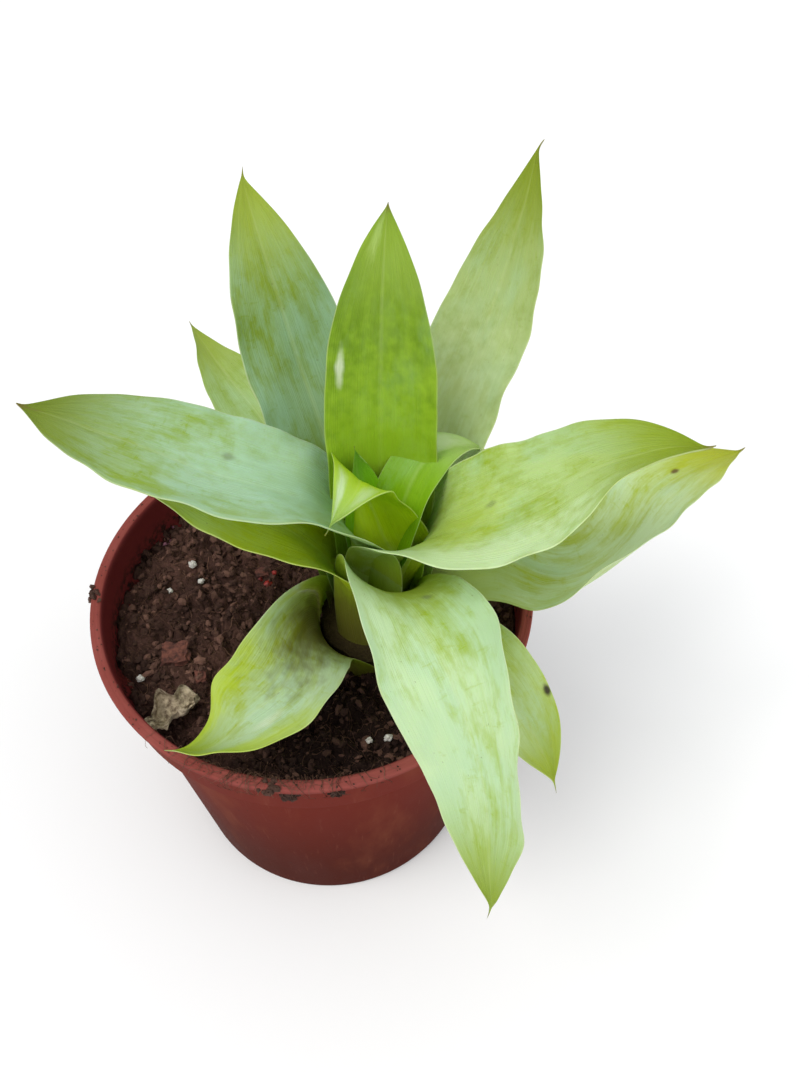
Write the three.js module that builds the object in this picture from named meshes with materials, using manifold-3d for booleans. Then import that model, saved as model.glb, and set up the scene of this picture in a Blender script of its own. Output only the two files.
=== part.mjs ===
// A young bromeliad in a small plastic nursery pot: a rosette of channelled leaves on a short stem,
// potting soil, and the grit and scraps that lie on it.
// Millimetres, +Z up. The origin is the centre of the pot's underside.
import * as THREE from 'three';
import { mergeVertices } from 'three/addons/utils/BufferGeometryUtils.js';
import Module from 'manifold-3d';

// Driving dimensions
const POT_HEIGHT = 105;
const LIP_RADIUS = 60;
const LIP_WIDTH = 3.2;
const LIP_DEPTH = 2.4;
const COLLAR_RADIUS = 58;
const COLLAR_DEPTH = 16.5;
const BODY_TOP_RADIUS = 54.4;
const FOOT_RADIUS = 47;
const WALL = 1.4;
const FOOT_WIDTH = 5;
const FOOT_LIFT = 2;
const HUB_RADIUS = 12;
const DRAIN_HOLES = 6;
const DRAIN_RADIUS = 3.6;
const DRAIN_CIRCLE = 28;
const DRAIN_SIDES = 14;
const POT_SIDES = 48;
const GAP = 0.3;

const SOIL_LEVEL = 91;
const SOIL_RINGS = 6;
const SOIL_SIDES = 32;

const STEM_X = 16;
const STEM_Y = -10;
const STEM_BOTTOM = 64;
const STEM_POINT_RISE = 9;
const STEM_STRAIGHT = 8;
const STEM_CROWN = 2;
const STEM_SIDES = 16;

const LEAF_THICKNESS = 0.6;
const LEAF_STEPS = 16;
const LEAF_STRIPS = 5;
const SHEATH_SPACING = 1.05;
const INNERMOST_RADIUS = 2.2;
const SHEATH_STEP_DOWN = 0.9;
const INNERMOST_HEIGHT = 102;
const WIDEST_BASE = 200;
const BASE_SPREAD = 1.05;
const WIDTH_PROFILE = [1, 0.98, 1, 1, 0.96, 0.82, 0.5, 0.03];

// A leaf is one line, its midrib, that carries an arched cross-section. `heading` is the compass
// direction of the leaf, anticlockwise from +X. `climb` is the midrib's slope, `turn` its swing away
// from the heading, `roll` the twist about the midrib, `channel` the angle of the arched section and
// `lean` how far that arch is swung round to one side of the midrib. Each is given in degrees at
// evenly spaced places from base to tip. Youngest leaf first.
const LEAVES = [
  {
    name: 'leaf_heart_centre',
    heading: 101,
    length: 54,
    width: 14,
    climb: [78, 79, 85, 83, 76],
    turn: [0, 2, 7, 14],
    roll: [0, 1, 6, 15],
    channel: [78, 47, 19],
  },
  {
    name: 'leaf_heart_front',
    heading: 261,
    length: 71,
    width: 24,
    climb: [88, 97, 102, 58, -48],
    turn: [0, -5, -24, -37],
    roll: [0, -3, -6, -2],
    channel: [75, 44, 18],
    lean: [0, 20, 3, -6, 15],
  },
  {
    name: 'leaf_heart_right',
    heading: 18,
    length: 70,
    width: 17,
    climb: [90, 89, 75, 22, -44],
    turn: [0, 1, 10, 8],
    roll: [0, 4, 6, -26],
    channel: [93, 61, 25],
    lean: [0, -3, -2, 12, 33],
  },
  {
    name: 'leaf_back',
    heading: 72,
    length: 110,
    width: 28,
    climb: [86, 80, 76, 56, 18],
    turn: [2, 2, 6, 4],
    roll: [0, 15, 5, 10],
    channel: [85, 50, 25],
  },
  {
    name: 'leaf_right',
    heading: -12,
    length: 115,
    width: 37,
    climb: [91, 76, 38, 43, -10],
    turn: [-5, -46, 5, 3],
    roll: [4, 2, -6, -12],
    channel: [148, 37, 31],
    lean: [0, 0, 6, 1, 5],
  },
  {
    name: 'leaf_left',
    heading: 170,
    length: 125,
    width: 35,
    climb: [92, 90, 28, 14, -6],
    turn: [-4, 16, -10, -24],
    roll: [0, 10, 5, -10],
    channel: [90, 50, 20],
  },
  {
    name: 'leaf_left_lower',
    heading: 160,
    length: 88,
    width: 30,
    climb: [90, 80, 36, 14, -12],
    turn: [-6, 7, 0, -6],
    roll: [1, 10, -2, 7],
    channel: [84, 49, 29],
    lean: [0, 6, 5, 0, 0],
  },
  {
    name: 'leaf_front',
    heading: -71,
    length: 124,
    width: 31,
    climb: [98, 65, -7, -39, -72],
    turn: [6, -1, -13, -31],
    roll: [11, -14, 48, 40],
    channel: [102, 65, 25],
    lean: [-2, -18, -8, -4, -9],
  },
  {
    name: 'leaf_back_left',
    heading: 106,
    length: 121,
    width: 29,
    climb: [90, 70, 50, 42, 20],
    turn: [6, 4, 0, -8],
    roll: [0, 5, -5, 5],
    channel: [70, 45, 15],
  },
  {
    name: 'leaf_back_right',
    heading: 50,
    length: 129,
    width: 28,
    climb: [88, 64, 42, 36, 46],
    turn: [0, -4, 6, 12],
    roll: [0, 0, -10, -30],
    channel: [75, 40, 30],
  },
  {
    name: 'leaf_back_left_lower',
    heading: 116,
    length: 104,
    width: 22,
    climb: [88, 46, 14, 4, 10],
    turn: [0, 0, 0, -2],
    roll: [0, 5, -10, 30],
    channel: [80, 55, 25],
  },
  {
    name: 'leaf_right_lower',
    heading: 9,
    length: 104,
    width: 36,
    climb: [87, 28, 25, 13, -9],
    turn: [0, -17, 7, 11],
    roll: [-18, 2, -19, -14],
    channel: [68, 58, 25],
    lean: [2, 12, -24, 0, 2],
  },
  {
    name: 'leaf_front_right_lower',
    heading: -52,
    length: 73,
    width: 23,
    climb: [86, 62, 6, -28, -50],
    turn: [2, -4, -8, -18],
    roll: [-15, -15, -10, 5],
    channel: [80, 45, 25],
  },
  {
    name: 'leaf_front_left_lower',
    heading: 212,
    length: 69,
    width: 30,
    climb: [96, 62, -7, -8, -1],
    turn: [0, 18, 10, -41],
    roll: [9, -26, 2, 44],
    channel: [123, 77, 19],
    lean: [3, -19, 4, -2, 10],
  },
];
const UPRIGHT = [0, 0, 0, 0, 0];

const DRIED_LEAF = { length: 17, width: 9, thickness: 0.8, heading: 28, x: -41, y: -28 };
const DRIED_LEAF_BENDS = 8;

const BARK_CHIPS = [
  { length: 9, width: 7, height: 2.6, heading: 15, x: -40, y: -9 },
  { length: 5, width: 4, height: 2, heading: 70, x: -33, y: -17 },
  { length: 5, width: 3, height: 1.8, heading: -30, x: -14, y: 15 },
];

const PERLITE_GRAINS = [
  { size: 3.4, x: -34, y: 21 },
  { size: 2.6, x: -41, y: 13 },
  { size: 2.4, x: -32, y: 15 },
  { size: 3, x: -49, y: -15 },
  { size: 2.8, x: 9, y: -43 },
  { size: 3.2, x: 14, y: -43 },
];

const POT_COLOUR = 0x8c4433;
const SOIL_COLOUR = 0x33231f;
const STEM_COLOUR = 0x8a8f4a;
const LEAF_COLOUR = 0xa9c46a;
const DRY_LEAF_COLOUR = 0xb9a78c;
const BARK_COLOUR = 0x6b3a2c;
const PERLITE_COLOUR = 0xe6e2d8;

const wasm = await Module();
wasm.setup();

function radians(degrees) {
  return (degrees * Math.PI) / 180;
}

function material(colour, roughness) {
  return new THREE.MeshStandardMaterial({ color: colour, roughness, metalness: 0 });
}

// ---- joining and cutting closed solids ----

function toSolid(geometry) {
  const bare = geometry.clone();
  bare.deleteAttribute('normal');
  bare.deleteAttribute('uv');
  const merged = mergeVertices(bare, 1e-4);
  const vertProperties = new Float32Array(merged.attributes.position.array);
  const triVerts = new Uint32Array(merged.index.array);
  return new wasm.Manifold(new wasm.Mesh({ numProp: 3, vertProperties, triVerts }));
}

function toGeometry(solid) {
  const mesh = solid.getMesh();
  const geometry = new THREE.BufferGeometry();
  geometry.setAttribute('position', new THREE.BufferAttribute(mesh.vertProperties, 3));
  geometry.setIndex(new THREE.BufferAttribute(mesh.triVerts, 1));
  geometry.computeVertexNormals();
  return geometry;
}

function largestBody(solid) {
  const bodies = solid.decompose();
  return bodies.reduce((best, body) => (body.volume() > best.volume() ? body : best));
}

// A closed solid of revolution about Z from [radius, height] points that start and end on the axis.
function turned(points, sides) {
  const outline = points.map(([radius, height]) => new THREE.Vector2(radius, height));
  return new THREE.LatheGeometry(outline, sides).rotateX(Math.PI / 2);
}

// A smooth line through evenly spaced values, read at t from 0 to 1.
function smoothValue(values, t) {
  const last = values.length - 1;
  const place = Math.min(Math.max(t * last, 0), last - 1e-9);
  const index = Math.floor(place);
  const part = place - index;
  const start = values[index];
  const end = values[index + 1];
  const before = index > 0 ? values[index - 1] : 2 * start - end;
  const after = index + 2 <= last ? values[index + 2] : 2 * end - start;
  const slope = end - before;
  const curve = 2 * before - 5 * start + 4 * end - after;
  const twist = 3 * start - before - 3 * end + after;
  return 0.5 * (2 * start + slope * part + curve * part ** 2 + twist * part ** 3);
}

// ---- pot ----

function potGeometry() {
  const step = POT_HEIGHT - COLLAR_DEPTH;
  const bodyInner = BODY_TOP_RADIUS - WALL;
  const collarInner = COLLAR_RADIUS - WALL;
  const footInner = FOOT_RADIUS - FOOT_WIDTH;
  const profile = [
    [0, 0],
    [HUB_RADIUS, 0],
    [HUB_RADIUS + FOOT_LIFT, FOOT_LIFT],
    [footInner - FOOT_LIFT, FOOT_LIFT],
    [footInner, 0],
    [FOOT_RADIUS - 1, 0],
    [FOOT_RADIUS, 1],
    [BODY_TOP_RADIUS, step - 1],
    [COLLAR_RADIUS - 1, step],
    [COLLAR_RADIUS - 0.5, step + 0.6],
    [COLLAR_RADIUS, POT_HEIGHT - LIP_DEPTH - 0.6],
    [LIP_RADIUS - 0.4, POT_HEIGHT - LIP_DEPTH],
    [LIP_RADIUS, POT_HEIGHT - LIP_DEPTH + 0.6],
    [LIP_RADIUS, POT_HEIGHT - 0.7],
    [LIP_RADIUS - 0.7, POT_HEIGHT],
    [LIP_RADIUS - LIP_WIDTH + 0.5, POT_HEIGHT],
    [LIP_RADIUS - LIP_WIDTH, POT_HEIGHT - 0.6],
    [collarInner - 0.4, step + WALL],
    [bodyInner, step - WALL],
    [FOOT_RADIUS - WALL, FOOT_LIFT + WALL],
    [0, FOOT_LIFT + WALL],
  ];
  let pot = toSolid(turned(profile, POT_SIDES));
  for (let hole = 0; hole < DRAIN_HOLES; hole += 1) {
    const angle = (hole * 2 * Math.PI) / DRAIN_HOLES;
    const drill = new THREE.CylinderGeometry(DRAIN_RADIUS, DRAIN_RADIUS, 4 * FOOT_LIFT + 2 * WALL, DRAIN_SIDES);
    drill.rotateX(Math.PI / 2);
    drill.translate(DRAIN_CIRCLE * Math.cos(angle), DRAIN_CIRCLE * Math.sin(angle), 0);
    pot = pot.subtract(toSolid(drill));
  }
  return toGeometry(pot);
}

// ---- soil ----

function soilHeight(x, y) {
  const lumps = 1.1 * Math.sin(0.21 * x + 0.6) * Math.cos(0.17 * y - 0.4);
  const grit = 0.5 * Math.sin(0.47 * x - 0.9) * Math.sin(0.39 * y + 1.3);
  const stemDistance = Math.hypot(x - STEM_X, y - STEM_Y);
  const mound = 1.2 * Math.exp(-((stemDistance / 22) ** 2));
  return SOIL_LEVEL + lumps + grit + mound;
}

// The stem tapers as its leaves do: each younger leaf sits higher and nearer the middle.
function stemRadius(rank) {
  return INNERMOST_RADIUS + SHEATH_SPACING * rank;
}

function leafBaseHeight(rank) {
  return INNERMOST_HEIGHT - SHEATH_STEP_DOWN * rank;
}

function stemProfile(swell) {
  const lowestRank = LEAVES.length - 1;
  const tuck = LEAF_THICKNESS / 2 + GAP - swell;
  const shoulder = leafBaseHeight(lowestRank) - STEM_CROWN;
  const wide = stemRadius(lowestRank) - tuck;
  return [
    [0, STEM_BOTTOM - swell],
    [0.45 * wide, STEM_BOTTOM + 1 - swell],
    [0.7 * wide, STEM_BOTTOM + STEM_POINT_RISE],
    [wide, shoulder - STEM_STRAIGHT],
    [wide, shoulder],
    [INNERMOST_RADIUS - tuck, INNERMOST_HEIGHT - STEM_CROWN],
    [0, INNERMOST_HEIGHT - 0.5 * STEM_CROWN],
  ];
}

function stemSolid(swell) {
  return toSolid(turned(stemProfile(swell), STEM_SIDES).translate(STEM_X, STEM_Y, 0));
}

function soilGeometry() {
  const floor = FOOT_LIFT + WALL + GAP;
  const floorRadius = FOOT_RADIUS - WALL - GAP;
  const step = POT_HEIGHT - COLLAR_DEPTH;
  const neckRadius = BODY_TOP_RADIUS - WALL - GAP;
  const topRadius = neckRadius + 0.4;
  const positions = [];
  const faces = [];
  const pushRing = (radius, heightAt) => {
    const first = positions.length / 3;
    for (let side = 0; side < SOIL_SIDES; side += 1) {
      const angle = (side * 2 * Math.PI) / SOIL_SIDES;
      const x = radius * Math.cos(angle);
      const y = radius * Math.sin(angle);
      positions.push(x, y, heightAt(x, y));
    }
    return first;
  };
  const joinRings = (lower, upper) => {
    for (let side = 0; side < SOIL_SIDES; side += 1) {
      const next = (side + 1) % SOIL_SIDES;
      faces.push(lower + side, lower + next, upper + next);
      faces.push(lower + side, upper + next, upper + side);
    }
  };
  const floorRing = pushRing(floorRadius, () => floor);
  const neckRing = pushRing(neckRadius, () => step - WALL);
  joinRings(floorRing, neckRing);
  let ring = neckRing;
  for (let count = SOIL_RINGS; count > 0; count -= 1) {
    const inner = pushRing((topRadius * count) / SOIL_RINGS, soilHeight);
    joinRings(ring, inner);
    ring = inner;
  }
  const bottomCentre = positions.length / 3;
  positions.push(0, 0, floor);
  const topCentre = positions.length / 3;
  positions.push(0, 0, soilHeight(0, 0));
  for (let side = 0; side < SOIL_SIDES; side += 1) {
    const next = (side + 1) % SOIL_SIDES;
    faces.push(bottomCentre, floorRing + next, floorRing + side);
    faces.push(topCentre, ring + side, ring + next);
  }
  const geometry = new THREE.BufferGeometry();
  geometry.setAttribute('position', new THREE.Float32BufferAttribute(positions, 3));
  geometry.setIndex(faces);
  let soil = toSolid(geometry).subtract(stemSolid(GAP));
  LEAVES.forEach((leaf, rank) => {
    soil = largestBody(soil.subtract(leafSolid(leaf, rank, GAP)));
  });
  return toGeometry(soil);
}

// ---- leaves ----

function leafShape(leaf, rank) {
  const baseRadius = stemRadius(rank);
  const baseWidth = Math.min(BASE_SPREAD * leaf.width, baseRadius * radians(WIDEST_BASE));
  const baseChannel = (baseWidth / baseRadius) * (180 / Math.PI);
  const widths = [baseWidth, ...WIDTH_PROFILE.map((share) => share * leaf.width)];
  const channels = [baseChannel, ...leaf.channel];
  return { baseRadius, widths, channels };
}

// Rows of { point, normal } across the leaf, from base to tip, grown outwards at its edges by `swell`.
function leafRows(leaf, rank, swell) {
  const { baseRadius, widths, channels } = leafShape(leaf, rank);
  const heading = radians(leaf.heading);
  const middle = new THREE.Vector3(
    STEM_X + baseRadius * Math.cos(heading),
    STEM_Y + baseRadius * Math.sin(heading),
    leafBaseHeight(rank),
  );
  const forwardAt = (t) => {
    const climb = radians(smoothValue(leaf.climb, t));
    const bearing = heading + radians(smoothValue(leaf.turn, t));
    const flat = Math.cos(climb);
    return new THREE.Vector3(flat * Math.cos(bearing), flat * Math.sin(bearing), Math.sin(climb));
  };
  const rows = [];
  for (let step = 0; step <= LEAF_STEPS; step += 1) {
    const t = step / LEAF_STEPS;
    const forward = forwardAt(t);
    const bearing = heading + radians(smoothValue(leaf.turn, t));
    const level = new THREE.Vector3(-Math.sin(bearing), Math.cos(bearing), 0);
    const upright = new THREE.Vector3().crossVectors(forward, level);
    const roll = radians(smoothValue(leaf.roll, t));
    const side = level.clone().multiplyScalar(Math.cos(roll)).addScaledVector(upright, Math.sin(roll));
    const up = upright.clone().multiplyScalar(Math.cos(roll)).addScaledVector(level, -Math.sin(roll));
    const channel = radians(Math.max(smoothValue(channels, t), 2));
    const radius = Math.max(smoothValue(widths, t), 0.4) / channel;
    const reach = channel / 2 + swell / radius;
    const lean = radians(smoothValue(leaf.lean ?? UPRIGHT, t));
    const end = (step === LEAF_STEPS ? 1 : 0) - (step === 0 ? 1 : 0);
    const row = [];
    for (let strip = 0; strip <= LEAF_STRIPS; strip += 1) {
      const across = ((2 * strip) / LEAF_STRIPS - 1) * reach + lean;
      const point = middle.clone().addScaledVector(forward, end * swell);
      point.addScaledVector(side, radius * Math.sin(across));
      point.addScaledVector(up, radius * (1 - Math.cos(across)));
      const normal = up.clone().multiplyScalar(Math.cos(across)).addScaledVector(side, -Math.sin(across));
      row.push({ point, normal });
    }
    rows.push(row);
    middle.addScaledVector(forward, 0.5 * (leaf.length / LEAF_STEPS));
    middle.addScaledVector(forwardAt((step + 1) / LEAF_STEPS), 0.5 * (leaf.length / LEAF_STEPS));
  }
  return rows;
}

function leafSolid(leaf, rank, swell) {
  const rows = leafRows(leaf, rank, swell);
  const thickness = LEAF_THICKNESS + 2 * swell;
  const columns = LEAF_STRIPS + 1;
  const layer = rows.length * columns;
  const positions = [];
  for (const half of [0.5, -0.5]) {
    for (const { point, normal } of rows.flat()) {
      positions.push(...point.clone().addScaledVector(normal, half * thickness).toArray());
    }
  }
  const faces = [];
  const quad = (a, b, c, d) => faces.push(a, b, c, a, c, d);
  for (let step = 0; step < LEAF_STEPS; step += 1) {
    for (let strip = 0; strip < LEAF_STRIPS; strip += 1) {
      const a = step * columns + strip;
      quad(a, a + columns, a + columns + 1, a + 1);
      quad(layer + a, layer + a + 1, layer + a + columns + 1, layer + a + columns);
    }
    const low = step * columns;
    const high = low + LEAF_STRIPS;
    quad(low, layer + low, layer + low + columns, low + columns);
    quad(high, high + columns, layer + high + columns, layer + high);
  }
  for (let strip = 0; strip < LEAF_STRIPS; strip += 1) {
    const tip = LEAF_STEPS * columns + strip;
    quad(strip, strip + 1, layer + strip + 1, layer + strip);
    quad(tip, layer + tip, layer + tip + 1, tip + 1);
  }
  const geometry = new THREE.BufferGeometry();
  geometry.setAttribute('position', new THREE.Float32BufferAttribute(positions, 3));
  geometry.setIndex(faces);
  return toSolid(geometry);
}

// An older leaf is cut back wherever it would touch the stem or a younger leaf.
function leafGeometries() {
  const finished = [];
  const swollen = [stemSolid(GAP)];
  LEAVES.forEach((leaf, rank) => {
    let solid = leafSolid(leaf, rank, 0);
    for (const inner of swollen) {
      if (solid.intersect(inner).volume() > 0) {
        solid = largestBody(solid.subtract(inner));
      }
    }
    swollen.push(leafSolid(leaf, rank, GAP));
    finished.push({ name: leaf.name, geometry: toGeometry(solid) });
  });
  return finished;
}

// ---- things that lie on the soil ----

function restOnSoil(geometry, x, y) {
  geometry.computeBoundingBox();
  const { min, max } = geometry.boundingBox;
  let ground = -Infinity;
  for (const dx of [min.x, 0, max.x]) {
    for (const dy of [min.y, 0, max.y]) {
      ground = Math.max(ground, soilHeight(x + dx, y + dy));
    }
  }
  return geometry.translate(x, y, ground + 2 * GAP - min.z);
}

function perliteGeometry(size, x, y, seed) {
  const grain = new THREE.IcosahedronGeometry(size / 2, 1);
  const position = grain.attributes.position;
  for (let index = 0; index < position.count; index += 1) {
    const px = position.getX(index);
    const py = position.getY(index);
    const pz = position.getZ(index);
    const sideways = 0.14 * Math.sin(2.1 * px + seed) * Math.cos(1.7 * py - seed);
    const lump = 1 + sideways + 0.1 * Math.sin(2.6 * pz + seed);
    position.setXYZ(index, px * lump, py * lump * 0.85, pz * lump * 0.75);
  }
  return restOnSoil(grain, x, y);
}

function barkGeometry(length, width, height, heading, x, y) {
  const outline = new THREE.Shape([
    new THREE.Vector2(-0.5 * length, -0.3 * width),
    new THREE.Vector2(-0.1 * length, -0.5 * width),
    new THREE.Vector2(0.46 * length, -0.34 * width),
    new THREE.Vector2(0.5 * length, 0.2 * width),
    new THREE.Vector2(0.16 * length, 0.5 * width),
    new THREE.Vector2(-0.38 * length, 0.36 * width),
  ]);
  const bevel = 0.2 * height;
  const chip = new THREE.ExtrudeGeometry(outline, {
    depth: height - 2 * bevel,
    bevelSize: bevel,
    bevelThickness: bevel,
    bevelSegments: 1,
  });
  return restOnSoil(chip.rotateZ(radians(heading)), x, y);
}

// A curled strip: an arc of dry leaf standing on its two long edges.
function driedLeafGeometry() {
  const { length, width, thickness, heading, x, y } = DRIED_LEAF;
  const arch = new THREE.Shape();
  arch.absarc(0, 0, width / 2, 0, Math.PI, false);
  arch.absarc(0, 0, width / 2 - thickness, Math.PI, 0, true);
  const strip = new THREE.ExtrudeGeometry(arch, {
    depth: length,
    bevelEnabled: false,
    curveSegments: DRIED_LEAF_BENDS,
  });
  strip.translate(0, 0, -length / 2).rotateX(Math.PI / 2).scale(1, 1, 0.7);
  return restOnSoil(strip.rotateZ(radians(heading)), x, y);
}

// ---- the potted plant ----

const plant = new THREE.Group();

function place(name, geometry, colour, roughness) {
  const mesh = new THREE.Mesh(geometry, material(colour, roughness));
  mesh.name = name;
  plant.add(mesh);
}

place('pot', potGeometry(), POT_COLOUR, 0.5);
place('soil', soilGeometry(), SOIL_COLOUR, 1);
place('stem', toGeometry(stemSolid(0)), STEM_COLOUR, 0.7);
for (const { name, geometry } of leafGeometries()) {
  place(name, geometry, LEAF_COLOUR, 0.45);
}
place('dried_leaf', driedLeafGeometry(), DRY_LEAF_COLOUR, 0.9);
BARK_CHIPS.forEach(({ length, width, height, heading, x, y }, index) => {
  place(`bark_chip_${index + 1}`, barkGeometry(length, width, height, heading, x, y), BARK_COLOUR, 0.9);
});
PERLITE_GRAINS.forEach(({ size, x, y }, index) => {
  place(`perlite_${index + 1}`, perliteGeometry(size, x, y, index), PERLITE_COLOUR, 0.9);
});

export default plant;
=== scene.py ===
# %% [markdown]
# # A young bromeliad in its nursery pot
# A bromeliad is a rosette: every leaf grows from one short stem, and its broad base, the sheath,
# wraps round the younger leaves inside it. This lesson builds the pot, the soil and its litter, and
# then fourteen leaves from one leaf-shaping function.
#
# The frame is the finished construction model. Everything here is placed from it, in metres.

# %% Load the frame
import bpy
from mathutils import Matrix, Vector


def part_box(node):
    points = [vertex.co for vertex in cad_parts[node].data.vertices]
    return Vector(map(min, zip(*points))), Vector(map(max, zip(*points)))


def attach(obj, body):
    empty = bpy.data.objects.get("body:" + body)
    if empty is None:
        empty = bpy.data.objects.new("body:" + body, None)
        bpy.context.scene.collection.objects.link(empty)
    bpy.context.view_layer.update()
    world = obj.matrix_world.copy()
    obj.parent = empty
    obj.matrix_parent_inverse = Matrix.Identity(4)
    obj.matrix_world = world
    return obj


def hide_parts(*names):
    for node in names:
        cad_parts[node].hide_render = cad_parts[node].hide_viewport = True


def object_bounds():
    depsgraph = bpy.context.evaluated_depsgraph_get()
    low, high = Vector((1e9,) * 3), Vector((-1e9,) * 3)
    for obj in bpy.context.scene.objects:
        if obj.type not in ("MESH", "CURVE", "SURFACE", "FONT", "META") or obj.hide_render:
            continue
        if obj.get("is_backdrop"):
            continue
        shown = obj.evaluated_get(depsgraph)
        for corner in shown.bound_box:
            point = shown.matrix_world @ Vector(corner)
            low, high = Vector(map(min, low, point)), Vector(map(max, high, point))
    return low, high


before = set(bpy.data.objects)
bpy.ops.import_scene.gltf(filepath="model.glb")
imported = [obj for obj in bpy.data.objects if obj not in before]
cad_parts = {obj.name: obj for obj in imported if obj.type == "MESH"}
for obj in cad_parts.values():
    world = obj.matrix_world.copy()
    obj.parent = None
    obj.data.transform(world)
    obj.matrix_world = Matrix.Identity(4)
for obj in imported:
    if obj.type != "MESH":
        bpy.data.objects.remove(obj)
frame_size = [list(corner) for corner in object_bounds()]

import math
import random

import bmesh
import bpy
from mathutils import Matrix, Vector, noise

MM = 0.001
print("nodes in the frame:", len(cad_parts))

# %% [markdown]
# ## Camera
# The plant is seen from above and in front. The camera comes first, so that every test render is
# framed in the same way. A camera looks along its own -Z, so `to_track_quat` turns -Z to the aim.

# %% Camera
CAMERA_PLACE = Vector((0.0, -155.0, 317.0)) * MM
CAMERA_DOWN = math.radians(51.6)
CAMERA_RIGHT = math.radians(9.3)
CAMERA_LENS = 31.9

aim = Vector((
    math.sin(CAMERA_RIGHT) * math.cos(CAMERA_DOWN),
    math.cos(CAMERA_RIGHT) * math.cos(CAMERA_DOWN),
    -math.sin(CAMERA_DOWN),
))
camera_data = bpy.data.cameras.new("camera")
camera_data.lens = CAMERA_LENS
camera_data.sensor_width = 36.0
camera_data.sensor_fit = "AUTO"
camera_data.clip_start = 0.01
camera = bpy.data.objects.new("camera", camera_data)
camera.location = CAMERA_PLACE
camera.rotation_euler = aim.to_track_quat("-Z", "Y").to_euler()
bpy.context.scene.collection.objects.link(camera)
bpy.context.scene.camera = camera
print("camera is", round(CAMERA_PLACE.length, 3), "m from the origin")

# %% [markdown]
# ## Light
# Soft studio light: a pale world gives most of it, so the shadows stay open. Two sun lamps add
# direction, a main one high on the left and a weak one on the right. A sun lights the whole floor
# evenly, and its wide angle gives soft-edged shadows.


# %% Lamps and world
def sun_lamp(name, place, strength, softness, colour):
    data = bpy.data.lights.new(name, "SUN")
    data.energy = strength
    data.angle = math.radians(softness)
    data.color = colour
    lamp = bpy.data.objects.new(name, data)
    lamp.location = place
    lamp.rotation_euler = (-Vector(place)).to_track_quat("-Z", "Y").to_euler()
    bpy.context.scene.collection.objects.link(lamp)


sun_lamp("key", (-0.5, -0.25, 1.0), 1.35, 30.0, (1.0, 0.98, 0.95))
sun_lamp("fill", (0.8, -0.5, 0.9), 0.4, 50.0, (0.97, 0.98, 1.0))

world = bpy.data.worlds.new("studio")
world.use_nodes = True
world.node_tree.nodes["Background"].inputs["Color"].default_value = (0.95, 0.97, 1.0, 1.0)
world.node_tree.nodes["Background"].inputs["Strength"].default_value = 0.78
bpy.context.scene.world = world
bpy.context.scene.view_settings.view_transform = "Standard"

# %% [markdown]
# ## Helpers for meshes
# A finished piece is an object at the origin with its place in its mesh. `finish_piece` turns a
# bmesh into such an object, smooths it, and hides the CAD node that it stands for. `spun_solid` turns an
# outline like a potter does. A full spin leaves two rows of points at the seam and a bunch of them on
# the axis, so `use_merge` and `remove_doubles` join them before the normals are put right.


# %% Mesh helpers
MERGE_DISTANCE = 0.00001


def new_object(name, bm, material):
    mesh = bpy.data.meshes.new(name)
    bm.to_mesh(mesh)
    bm.free()
    mesh.materials.append(material)
    thing = bpy.data.objects.new(name, mesh)
    bpy.context.scene.collection.objects.link(thing)
    return thing


def finish_piece(name, bm, material, nodes=(), smooth=True):
    for face in bm.faces:
        face.smooth = smooth
    piece = new_object(name, bm, material)
    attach(piece, "root")
    if nodes:
        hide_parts(*nodes)
    print(name, "faces:", len(piece.data.polygons))
    return piece


def spun_solid(outline, steps):
    """Spins (radius, height) points, in millimetres, round the upright axis into a closed solid."""
    bm = bmesh.new()
    ring = [bm.verts.new(Vector((radius, 0, level)) * MM) for radius, level in outline]
    edges = [bm.edges.new(pair) for pair in zip(ring, ring[1:])]
    bmesh.ops.spin(
        bm, geom=ring + edges, axis=(0, 0, 1), cent=(0, 0, 0), dvec=(0, 0, 0),
        angle=2 * math.pi, steps=steps, use_merge=True,
    )
    bmesh.ops.remove_doubles(bm, verts=bm.verts, dist=MERGE_DISTANCE)
    bmesh.ops.recalc_face_normals(bm, faces=bm.faces)
    return bm


def smooth_by_subdivision(piece, levels):
    modifier = piece.modifiers.new("smooth", "SUBSURF")
    modifier.levels = levels
    modifier.render_levels = levels


# %% [markdown]
# ## Helpers for materials
# A node tree reads best as one line per node. `add` makes a node and fills its inputs, where a
# value that is itself a socket is wired in. `i0` is the first input, `i1` the second, and a word is an
# input's own name. Colours are written as 0 to 255 screen values, because that is how a colour is
# picked, and turned into the linear values that shaders use.


# %% Node helpers
def to_linear(level):
    return level / 255 / 12.92 if level < 11 else ((level / 255 + 0.055) / 1.055) ** 2.4


def screen_colour(red, green, blue):
    return (to_linear(red), to_linear(green), to_linear(blue), 1.0)


def add(tree, kind, settings=None, **inputs):
    made = tree.nodes.new(kind)
    for key, value in (settings or {}).items():
        setattr(made, key, value)
    for key, value in inputs.items():
        numbered = key[0] == "i" and key[1:].isdigit()
        socket = made.inputs[int(key[1:]) if numbered else key]
        if isinstance(value, bpy.types.NodeSocket):
            tree.links.new(value, socket)
        else:
            socket.default_value = value
    return made


def calc(tree, operation, a, b=0.0, c=0.0, clamp=False):
    made = add(tree, "ShaderNodeMath", {"operation": operation, "use_clamp": clamp}, i0=a, i1=b, i2=c)
    return made.outputs[0]


def blend_colours(tree, share, first, second):
    made = add(tree, "ShaderNodeMix", {"data_type": "RGBA"}, i0=share, i6=first, i7=second)
    return made.outputs[2]


def paint(tree, colour, mask, strength, screen):
    """Lays a screen colour over `colour` where the mask is 1, as strongly as `strength` says."""
    return blend_colours(tree, calc(tree, "MULTIPLY", mask, strength), colour, screen_colour(*screen))


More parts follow.
